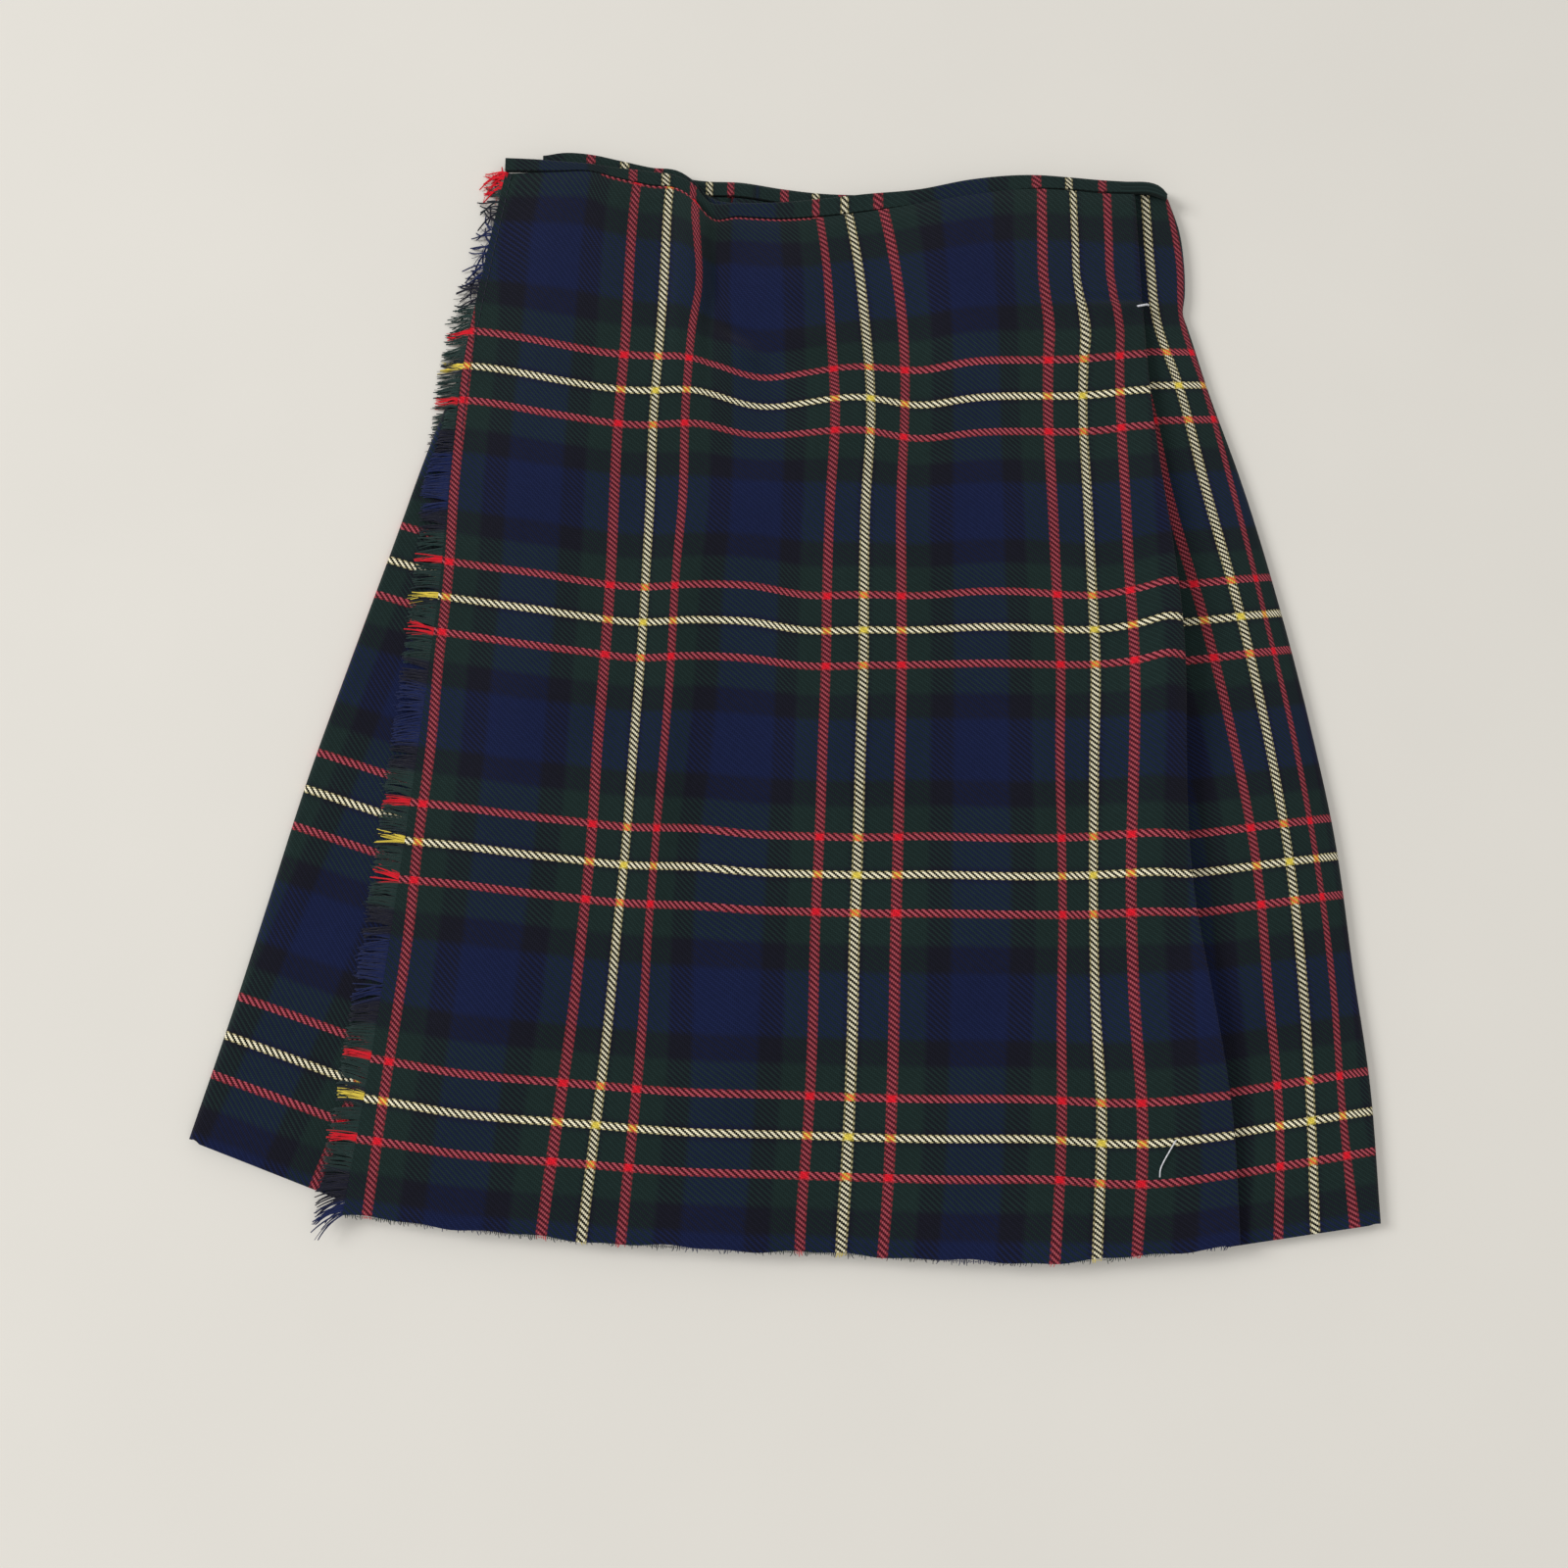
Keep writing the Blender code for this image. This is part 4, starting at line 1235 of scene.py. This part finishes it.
@dataclass
class PleatedBack:
    """The back, on the table: knife pleats that fan out from waist to hem."""

    pleats: int = 14
    rows: int = 60
    fold: float = LAYER / 2
    depth_waist: float = 14.0
    depth_hem: float = 27.0
    ramp_start: float = 1.0
    ramp_end: float = 4.6

    def line(self, side: dict[str, Array], fraction: Array, shares: Array) -> tuple[Array, Array]:
        """Places between the outer folds: straight, sagging midway, following the waist.

        Args:
            side: the side table at the shares.
            fraction: how far across, from 0 at the left fold.
            shares: how far down, from 0 to 1.

        Returns:
            x and y.
        """
        x = side["left_x"][:, None] * (1 - fraction) + side["right_x"][:, None] * fraction
        y = side["left_y"][:, None] * (1 - fraction) + side["right_y"][:, None] * fraction
        y = y - 4 * side["sag"][:, None] * fraction * (1 - fraction)
        chord = side["left_y"][0] * (1 - fraction) + side["right_y"][0] * fraction
        waist = waist_line("back_seam", x) - SEAM_GAP
        return x, y + (waist - chord) * (1 - shares[:, None]) ** 4

    def build(self, finish: bpy.types.Material) -> bpy.types.Object:
        """Build the pleats, one sett of cloth in each.

        Each runs along the table, turns up and back over itself in a half circle, turns
        up again and comes forward, then ramps down past its own fold to start the next.
        The yellow line is centred on the face that shows, at its true width, and the
        hidden folds take up the rest of the sett evenly along their course.

        Args:
            finish: the cloth's material.

        Returns:
            The new piece.
        """
        shares = np.linspace(0, 1, self.rows)
        side = side_levels(shares)
        one = np.ones((self.rows, 1))
        depth = (self.depth_waist + (self.depth_hem - self.depth_waist) * shares)[:, None]
        left = (side["left_x"] + SIDE_LEG + SEAM_GAP)[:, None]
        right = (side["right_x"] - SIDE_LEG - SEAM_GAP)[:, None]
        pitch = (right - left) / self.pleats
        half_turn = np.linspace(-np.pi / 2, np.pi / 2, 5)
        slope = np.linspace(0, 1, 5)
        x_parts, z_parts, across_parts = [], [], []
        for pleat in range(self.pleats):
            start = left + pleat * pitch
            middle = start + pitch / 2
            fold = start + pitch - self.fold - CLOTH / 2
            first = start + (0.0 if pleat == 0 else self.ramp_end - 2 * self.fold)
            last = pleat == self.pleats - 1
            face = first + ((start + pitch if last else fold) - first) * np.linspace(0, 1, 6)
            x_parts.append(face)
            z_parts.append(0 * face)
            across_parts.append(pleat * SETT_ACROSS + face - middle)
            if last:
                continue
            outer = fold + self.fold * np.cos(half_turn)
            over = fold - depth * np.linspace(0, 1, 4)[1:-1]
            inner = fold - depth - self.fold * np.cos(half_turn)
            under = fold - depth + (depth + self.ramp_start) * np.linspace(0, 1, 4)[1:]
            foot = start + pitch + self.ramp_end - 2 * self.fold
            ramp = (fold + self.ramp_start) * (1 - slope[1:-1]) + foot * slope[1:-1]
            hidden = np.concatenate([outer, over, inner, under, ramp], axis=1)
            rise = np.concatenate([0.5 + np.sin(half_turn) / 2, np.ones(2), 1.5 + np.sin(half_turn) / 2,
                                   2 * np.ones(3), 2 * (1 - ease(slope[1:-1]))])
            share = np.arange(1, hidden.shape[1] + 1) / (hidden.shape[1] + 1)
            begin = pleat * SETT_ACROSS + fold - middle
            end = (pleat + 1) * SETT_ACROSS + foot - middle - pitch
            x_parts.append(hidden)
            z_parts.append(one * rise)
            across_parts.append(begin + (end - begin) * share)
        x = np.concatenate(x_parts, axis=1)
        z = BACK_Z + LAYER * np.concatenate(z_parts, axis=1)
        width = (side["right_x"] - side["left_x"])[:, None]
        x, y = self.line(side, (x - side["left_x"][:, None]) / width, shares)
        down = np.broadcast_to(3.0 + (HEM - 3.0) * shares[:, None], x.shape)
        threads = np.stack([np.concatenate(across_parts, axis=1), down], axis=-1)
        return cloth_wall("pleated_back_cloth", np.stack([x, y, z], axis=-1), threads, finish)


@dataclass
class UnderApron:
    """The hidden under apron: a plain panel that shows only at the waist and hem."""

    lay: ApronLay = field(default_factory=ApronLay)
    rows: int = 70
    columns: int = 80
    inset_left: float = 20.0
    inset_right: float = 52.0
    inset_hem: float = 6.0
    inset_fold: float = 12.0       # from the kilt's outer left fold
    first: float = -66.0           # its cloth, mm across, from here
    last: float = 186.0            # to here

    def build(self, finish: bpy.types.Material) -> bpy.types.Object:
        """Build the panel: straight picks between its two edges, evenly spaced.

        Args:
            finish: the cloth's material.

        Returns:
            The new piece.
        """
        share = np.linspace(0, 1, self.rows)
        side = side_levels(share)
        place = self.lay.place(HEM * share, np.array([self.lay.knots[0], self.lay.knots[-1]]))
        start = np.maximum(place[:, 0, 0] + self.inset_left, side["left_x"] + self.inset_fold)[:, None]
        stop = (place[:, 1, 0] - self.inset_right)[:, None]
        fraction = np.linspace(0, 1, self.columns)
        x = start * (1 - fraction) + stop * fraction
        across = np.linspace(self.first, self.last, self.columns)
        hem = self.lay.place(np.array([HEM]), across)[0, :, 1] + self.inset_hem
        top = waist_line("under_seam", x[0]) - 3 * SEAM_GAP
        y = top * (1 - share[:, None]) + hem * share[:, None]
        middle = np.stack([x, y, np.full_like(x, UNDER_Z)], axis=-1)
        threads = np.stack([x - x[:, :1] + across[0], np.broadcast_to(HEM * share[:, None], x.shape)], -1)
        return cloth_wall("under_apron_cloth", middle, threads, finish)


# ---------------------------------------------------------------- waistbands

@dataclass
class Waistband:
    """A strip of the tartan folded over lengthwise and sewn to the top of a panel."""

    name: str
    x: Array                       # stations along the waist
    seam: Array                    # y of the seam at each station
    height: Array                  # of the band at each station
    middle_z: float
    across: Array                  # the cloth at each station, mm across
    thickness: float = BAND
    down: float = -3.2             # the cloth at the seam, mm down
    deepest: float = -11.0         # the hidden leg has no bright pick
    cloth: float = CLOTH

    def build(self, finish: bpy.types.Material) -> bpy.types.Object:
        """Build the strip: up its back, over a half circle, and down its front.

        The legs are half the thickness, less half a cloth, from the middle.

        Args:
            finish: the cloth's material.

        Returns:
            The new piece.
        """
        radius = (self.thickness - self.cloth) / 2
        turn = np.linspace(np.pi, 0, 9)
        leg = np.linspace(0, 1, 6)[:-1]
        up = SEAM_GAP + self.cloth / 2
        rise = (self.height - radius - self.cloth / 2 - up)[None, :]
        legs = up + rise * leg[:, None]
        over = up + rise + radius * np.sin(turn)[:, None]
        y = self.seam + np.concatenate([legs, over, legs[::-1]])
        z = self.middle_z + np.concatenate([np.full(5, -radius), radius * np.cos(turn), np.full(5, radius)])
        x = np.broadcast_to(self.x, y.shape)
        middle = np.stack([x, y, np.broadcast_to(z[:, None], y.shape)], axis=-1)
        run = np.concatenate([[0.0], np.cumsum(np.hypot(*np.diff(np.stack([y[:, 0], z]), axis=1)))])
        level = np.maximum(self.down - run[-1] + run, self.deepest)
        threads = np.stack([np.broadcast_to(self.across, y.shape),
                            np.broadcast_to(level[:, None], y.shape)], axis=-1)
        return cloth_wall(self.name, middle, threads, finish, self.cloth)


@dataclass
class Waist:
    """The three waistbands: the over apron's, the under apron's and the back's."""

    lay: ApronLay = field(default_factory=ApronLay)
    right: float = 167.5
    slip: float = 2.0              # how far the front band's stripes stand off the skirt's
    corner: float = 5.0            # rounding of the front band's right end
    last_green: float = 217.0      # the front band's cloth stays green past this, mm across
    under_left: float = -105.0
    under_shift: float = 69.0      # puts a yellow line of the under band at x = -69
    back_left: float = -101.0

    def front(self) -> Waistband:
        """The strip that shows, with its right top corner rounded as a quarter ellipse.

        Returns:
            The strip, ready to build.
        """
        across = np.linspace(self.lay.knots[0], self.lay.knots[-1], 150)
        place = self.lay.place(np.array([0.0]), across)
        seam = place[0]
        past = np.linspace(seam[-1, 0], self.right, 9)[1:]
        x = np.concatenate([seam[:, 0], past])
        across = self.lay.threads(np.array([0.0]), across, place)[0, :, 0]
        y = waist_line("front_seam", x)
        across = np.minimum(np.concatenate([across, across[-1] + past - seam[-1, 0]]), self.last_green)
        height = waist_line("front_band", x)
        corner = np.clip((x - (self.right - self.corner)) / self.corner, 0, 0.95)
        height = height * (0.35 + 0.65 * np.sqrt(1 - corner ** 2))
        return Waistband("front_waistband_cloth", x, y, height, FRONT_BAND_Z, across + self.slip)

    def under(self) -> Waistband:
        """The under apron's strip, straight along the waist.

        Returns:
            The strip, ready to build.
        """
        x = np.linspace(self.under_left, self.right - 2.0, 130)
        return Waistband("under_waistband_cloth", x, waist_line("under_seam", x),
                         waist_line("hidden_band", x), UNDER_BAND_Z, x + self.under_shift)

    def back(self) -> Waistband:
        """The back's strip. A pleat hides the dark stripes between x = -12 and -10.

        Returns:
            The strip, ready to build.
        """
        x = np.linspace(self.back_left, self.right - 1.0, 130)
        places = np.array([self.back_left, -31.5, -23.0, -12.0, -10.0, 1.0, 15.0, 26.0, 48.0, self.right])
        cloth = np.array([-69.5, 0.0, 14.9, 26.0, 71.0, 82.7, 97.6, 112.5, 135.0, 253.0])
        thickness = 3 * LAYER - SEAM_GAP
        return Waistband("back_waistband_cloth", x, waist_line("back_seam", x),
                         waist_line("hidden_band", x), thickness / 2, np.interp(x, places, cloth), thickness)


# ---------------------------------------------------------------- fringe, raw ends and stitches

@dataclass
class Fringe:
    """The weft ends left loose along the over apron's raw left edge."""

    lay: ApronLay = field(default_factory=ApronLay)
    pitch: float = SETT_DOWN / WEFT_PICKS
    reach: float = 12.6
    radius: float = 0.33
    steps: int = 9
    tuft: float = 5.2              # picks lean together in tufts about this wide
    corner: float = 7.5            # above this level the ends are a red tangle
    tangle_down: float = 0.6       # the level of the red pick that colours it
    curled: float = 38.0           # above this level they are sparse and curl
    curl_fade: float = 40.0
    droop_from: float = 418.0
    droop_over: float = 16.0
    seed: int = 11

    def build(self, finish: bpy.types.Material) -> bpy.types.Object:
        """Build one strand for each pick, and a finer one beside it.

        Each strand is an arc in plan: it sets off from the edge at its own angle and its
        heading turns evenly, so its points are at length times the cosine and sine of
        the angle reached halfway. Its height eases down to what it lies on. Near the
        waist the strands are fewer and curl, and at the hem they droop. Those of the waist
        corner are a tangle of the first red pick.

        Args:
            finish: the loose threads' material.

        Returns:
            The new piece.
        """
        random = np.random.default_rng(self.seed)
        main = np.arange(-1.5, HEM - 0.3, self.pitch)
        level = np.concatenate([main, main + self.pitch / 2])
        fine = np.arange(len(level)) >= len(main)
        loose = 1 - ease((level - self.curled) / self.curl_fade)
        keep = random.random(len(level)) > np.where(fine, 0.9, 0.4) * loose * (level > self.corner)
        level, fine, loose = level[keep], fine[keep], loose[keep]
        count = len(level)
        root_level = np.clip(level, 0, HEM)
        edge = self.lay.place(root_level, np.array([self.lay.knots[0]]))[:, 0]
        noise = random.normal(size=(5, count))
        tuft_number = np.floor(level / self.tuft + 0.35 * np.sin(level / 9.0))
        tuft_turn = np.random.default_rng(self.seed + 1).normal(size=int(tuft_number.max()) + 3)[
            tuft_number.astype(int) + 1]
        centre = (tuft_number + 0.5) * self.tuft
        droop = ease((level - self.droop_from) / self.droop_over)
        start = 12.0 + 6.0 * tuft_turn + 4.0 * noise[0] + loose * (14.0 + 24.0 * noise[1]) - 34.0 * droop
        turn = -14.0 + 6.0 * noise[2] + loose * 75.0 * noise[3] - 25.0 * droop
        length = self.reach * (1 + 0.05 * noise[4] - loose * 0.28 * random.random(count) + 0.15 * droop)
        length = np.where(fine, length * (0.75 + 0.35 * random.random(count)), length)
        w = np.linspace(0, 1, self.steps)
        heading = np.radians(start[:, None] + turn[:, None] * w / 2)
        gather = (centre - level) * 0.3 * (1 - loose)
        x = edge[:, :1] + 1.2 - length[:, None] * w * np.cos(heading)
        y = edge[:, 1:] + length[:, None] * w * np.sin(heading) - gather[:, None] * ease(w)
        side = side_levels(np.linspace(0, 1, 60))
        outer = np.interp(-edge[:, 1], -side["left_y"], side["left_x"])
        on_panel = ease((x - outer[:, None] - 1.0) / 4.0)
        rest = 0.4 + on_panel * (SIDE_Z + CLOTH / 2)
        lift = 0.35 * noise[1][:, None] * np.sin(np.pi * w) + 0.5
        root_z = APRON_EDGE_Z + 0.1 * noise[2][:, None]
        z = root_z * (1 - ease(w)) + (rest + lift) * ease(w)
        paths = np.stack([x, y, np.maximum(z, 0.35)], axis=-1)
        thick = (np.where(fine, 0.5, 1.0) + 0.35 * loose * ~fine)[:, None] * self.radius * (1 - 0.4 * w ** 3)
        dyed = np.where(level < self.corner, self.tangle_down, level)
        threads = np.stack([np.broadcast_to(w * self.reach, x.shape),
                            np.broadcast_to(dyed[:, None], x.shape)], axis=-1)
        return strands("apron_fringe_threads", paths, thick, threads, finish)


@dataclass
class RawHem:
    """The short warp ends that stand out of the raw hems."""

    lay: ApronLay = field(default_factory=ApronLay)
    pitch: float = SETT_ACROSS / WARP_ENDS
    radius: float = 0.2
    longest: float = 1.7
    seed: int = 23

    def build(self, finish: bpy.types.Material) -> bpy.types.Object:
        """Build one short end for each warp thread of the over apron's hem.

        Each leaves the hem within a few degrees of straight down and bends evenly.

        Args:
            finish: the loose threads' material.

        Returns:
            The new piece.
        """
        random = np.random.default_rng(self.seed)
        across = np.arange(self.lay.knots[0] + 1, self.lay.knots[-1] - 1, self.pitch)
        down = np.array([HEM - 1.0, HEM])
        place = self.lay.place(down, across)
        foot = place[1]
        threads = self.lay.threads(down, across, place)[1]
        height = self.lay.height(foot[:, 0], foot[:, 1], np.full(len(across), HEM))
        w = np.linspace(-0.6, 1, 5)
        length = self.longest * random.random(len(across)) ** 2 + 0.25
        lean = np.radians(14.0 * random.normal(size=len(across)))
        bend = lean[:, None] * (0.4 + np.clip(w, 0, 1))
        run = length[:, None] * w
        x = foot[:, :1] + run * np.sin(bend)
        y = foot[:, 1:] - run * np.cos(bend)
        z = height[:, None] + 0.25 * random.normal(size=len(across))[:, None] - 0.5 * np.clip(w, 0, 1) * run
        radius = self.radius * (1 - 0.5 * np.clip(w, 0, 1)) * np.ones_like(x)
        charts = np.repeat(threads[:, None], len(w), axis=1)
        return strands("hem_thread_ends", np.stack([x, y, z], axis=-1), radius, charts, finish)


@dataclass(frozen=True)
class ThreadPoint:
    """One point of a loose sewing thread's route: place, and height above the cloth."""

    x: float
    y: float
    above: float


@dataclass
class Stitches:
    """Sewing threads: the edge stitching, the tack of the fell seam and a stray end."""

    lay: ApronLay = field(default_factory=ApronLay)
    edge_inset: float = 3.2
    edge_length: float = 118.0
    stitch: float = 2.6
    gap: float = 0.8
    tack: tuple[ThreadPoint, ...] = (
        ThreadPoint(152.0, 157.6, -0.3), ThreadPoint(152.7, 157.4, 0.4), ThreadPoint(154.4, 157.6, 0.7),
        ThreadPoint(156.2, 158.1, 0.4), ThreadPoint(156.9, 158.2, -0.6),
    )
    stray: tuple[ThreadPoint, ...] = (
        ThreadPoint(151.1, -190.5, 0.3), ThreadPoint(148.4, -194.4, 1.0), ThreadPoint(145.8, -198.7, 0.8),
        ThreadPoint(144.6, -201.6, 0.3), ThreadPoint(144.3, -204.4, 0.2),
    )

    def surface(self, x: Array, y: Array) -> Array:
        """Height of the apron's upper face."""
        return self.lay.height(x, y, np.full_like(x, HEM / 2)) + CLOTH / 2

    def loose(self, name: str, route: tuple[ThreadPoint, ...], radius: float,
              finish: bpy.types.Material) -> bpy.types.Object:
        """Build a thread along a smooth curve through its route's points.

        Args:
            name: the piece's name.
            route: its points.
            radius: of the thread, mm.
            finish: its material.

        Returns:
            The new piece.
        """
        marks = np.arange(len(route), dtype=float)
        at = np.linspace(0, len(route) - 1, 28)
        x, y, above = (smooth_through(marks, column(route, n), at) for n in ("x", "y", "above"))
        path = np.stack([x, y, self.surface(x, y) + above], axis=-1)[None]
        thick = np.full((1, len(at)), radius)
        return strands(name, path, thick, path[..., :2], finish)

    def edge(self, finish: bpy.types.Material) -> bpy.types.Object:
        """Build the line of running stitches inside the apron's left edge.

        Each stitch is a low arch of half a sine, a little longer than the gap after it.

        Args:
            finish: the thread's material.

        Returns:
            The new piece.
        """
        starts = np.arange(1.0, self.edge_length, self.stitch + self.gap)
        w = np.linspace(0, 1, 7)
        level = (starts[:, None] + self.stitch * w).ravel()
        edge = self.lay.place(level, np.array([self.lay.knots[0] + self.edge_inset]))[:, 0]
        x, y = edge[:, 0], edge[:, 1]
        z = self.surface(x, y) + 0.28 * np.tile(np.sin(np.pi * w), len(starts)) - 0.12
        paths = np.stack([x, y, z], axis=-1).reshape(len(starts), len(w), 3)
        thick = np.full(paths.shape[:2], 0.2)
        return strands("edge_running_stitches", paths, thick, paths[..., :2], finish)


# ---------------------------------------------------------------- studio

@dataclass
class Studio:
    """The floor, the soft lights and the camera, looking steeply down at the kilt."""

    lens: float = 36.11
    camera_at: tuple[float, float, float] = (0.0008, -0.1748, 0.6296)
    tilt: float = 11.3             # degrees from straight down
    floor_half: float = 2.5
    sky: float = 0.48              # strength of the soft light from all round
    window_at: tuple[float, float, float] = (-3.2, 0.8, 2.4)
    window_size: float = 1.6
    window_watts: float = 97.0
    fill_at: tuple[float, float, float] = (0.7, -0.7, 2.1)
    fill_size: float = 1.4
    fill_watts: float = 8.5

    def floor(self) -> bpy.types.Object:
        """Lay a large square at z = 0.

        Returns:
            The floor.
        """
        half = self.floor_half
        corners = np.array([[-half, -half, 0], [half, -half, 0], [half, half, 0], [-half, half, 0]])
        mesh = bpy.data.meshes.new("floor")
        mesh.from_pydata(corners, [], [(0, 1, 2, 3)])
        mesh.materials.append(PaleFloor().make())
        floor = bpy.data.objects.new("floor", mesh)
        bpy.context.collection.objects.link(floor)
        return floor

    def lamp(self, name: str, place: tuple[float, float, float], size: float, watts: float) -> None:
        """Hang a square soft lamp that faces the kilt's middle.

        Args:
            name: its name.
            place: metres.
            size: side of the square, metres.
            watts: its power.
        """
        light = bpy.data.lights.new(name, "AREA")
        light.size = size
        light.energy = watts
        lamp = bpy.data.objects.new(name, light)
        lamp.location = place
        lamp.rotation_euler = (-lamp.location).to_track_quat("-Z", "Y").to_euler()
        bpy.context.collection.objects.link(lamp)

    def build(self) -> None:
        """Set the floor, a soft sky, two lamps and the camera."""
        self.floor()
        world = bpy.data.worlds.new("soft_sky")
        world.use_nodes = True
        sky = world.node_tree.nodes["Background"]
        sky.inputs["Color"].default_value = linear("fffdfa")
        sky.inputs["Strength"].default_value = self.sky
        bpy.context.scene.world = world
        bpy.context.scene.view_settings.view_transform = "Standard"
        self.lamp("window", self.window_at, self.window_size, self.window_watts)
        self.lamp("fill", self.fill_at, self.fill_size, self.fill_watts)
        data = bpy.data.cameras.new("camera")
        data.lens = self.lens
        data.sensor_width = 36.0
        camera = bpy.data.objects.new("camera", data)
        camera.location = self.camera_at
        camera.rotation_euler = (np.radians(self.tilt), 0.0, 0.0)
        bpy.context.collection.objects.link(camera)
        bpy.context.scene.camera = camera


def main() -> None:
    """Build every piece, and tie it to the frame."""
    logging.basicConfig(level=logging.INFO, format="%(name)s: %(message)s")
    twill = TartanWool(Showing.CLOTH).make()
    weft = TartanWool(Showing.WEFT, loosened=1.5).make()
    warp = TartanWool(Showing.WARP, loosened=1.4).make()
    white = SewingThread("white_cotton_thread", "e4e6ec").make()
    navy = SewingThread("navy_cotton_thread", "14162a").make()

    tartan, band = "tartan_wool_twill", "waistband_wool_twill"
    back = place_piece(PleatedBack().build(twill), tartan, "back_pleats")
    left = place_piece(LeftPanel().build(twill), tartan, "side_panel_left")
    right = place_piece(RightPanel().build(twill), tartan, "side_panel_right")
    under = place_piece(UnderApron().build(twill), tartan, "under_apron")
    over = place_piece(OverApron().build(twill), tartan, "over_apron")
    waist = Waist()
    front_band = place_piece(waist.front().build(twill), band, "waistband_front")
    under_band = place_piece(waist.under().build(twill), band, "waistband_under")
    back_band = place_piece(waist.back().build(twill), band, "waistband_back")
    fringe = place_piece(Fringe().build(weft), "fringed_wool_threads", "apron_fringe")
    ends = place_piece(RawHem().build(warp), "fringed_wool_threads")
    stitches = Stitches()
    tack = place_piece(stitches.loose("white_tack_thread", stitches.tack, 0.5, white), band)
    stray = place_piece(stitches.loose("white_stray_thread", stitches.stray, 0.26, white), band)
    edging = place_piece(stitches.edge(navy), band)

    Studio().build()
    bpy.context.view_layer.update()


if __name__ == "__main__":
    main()
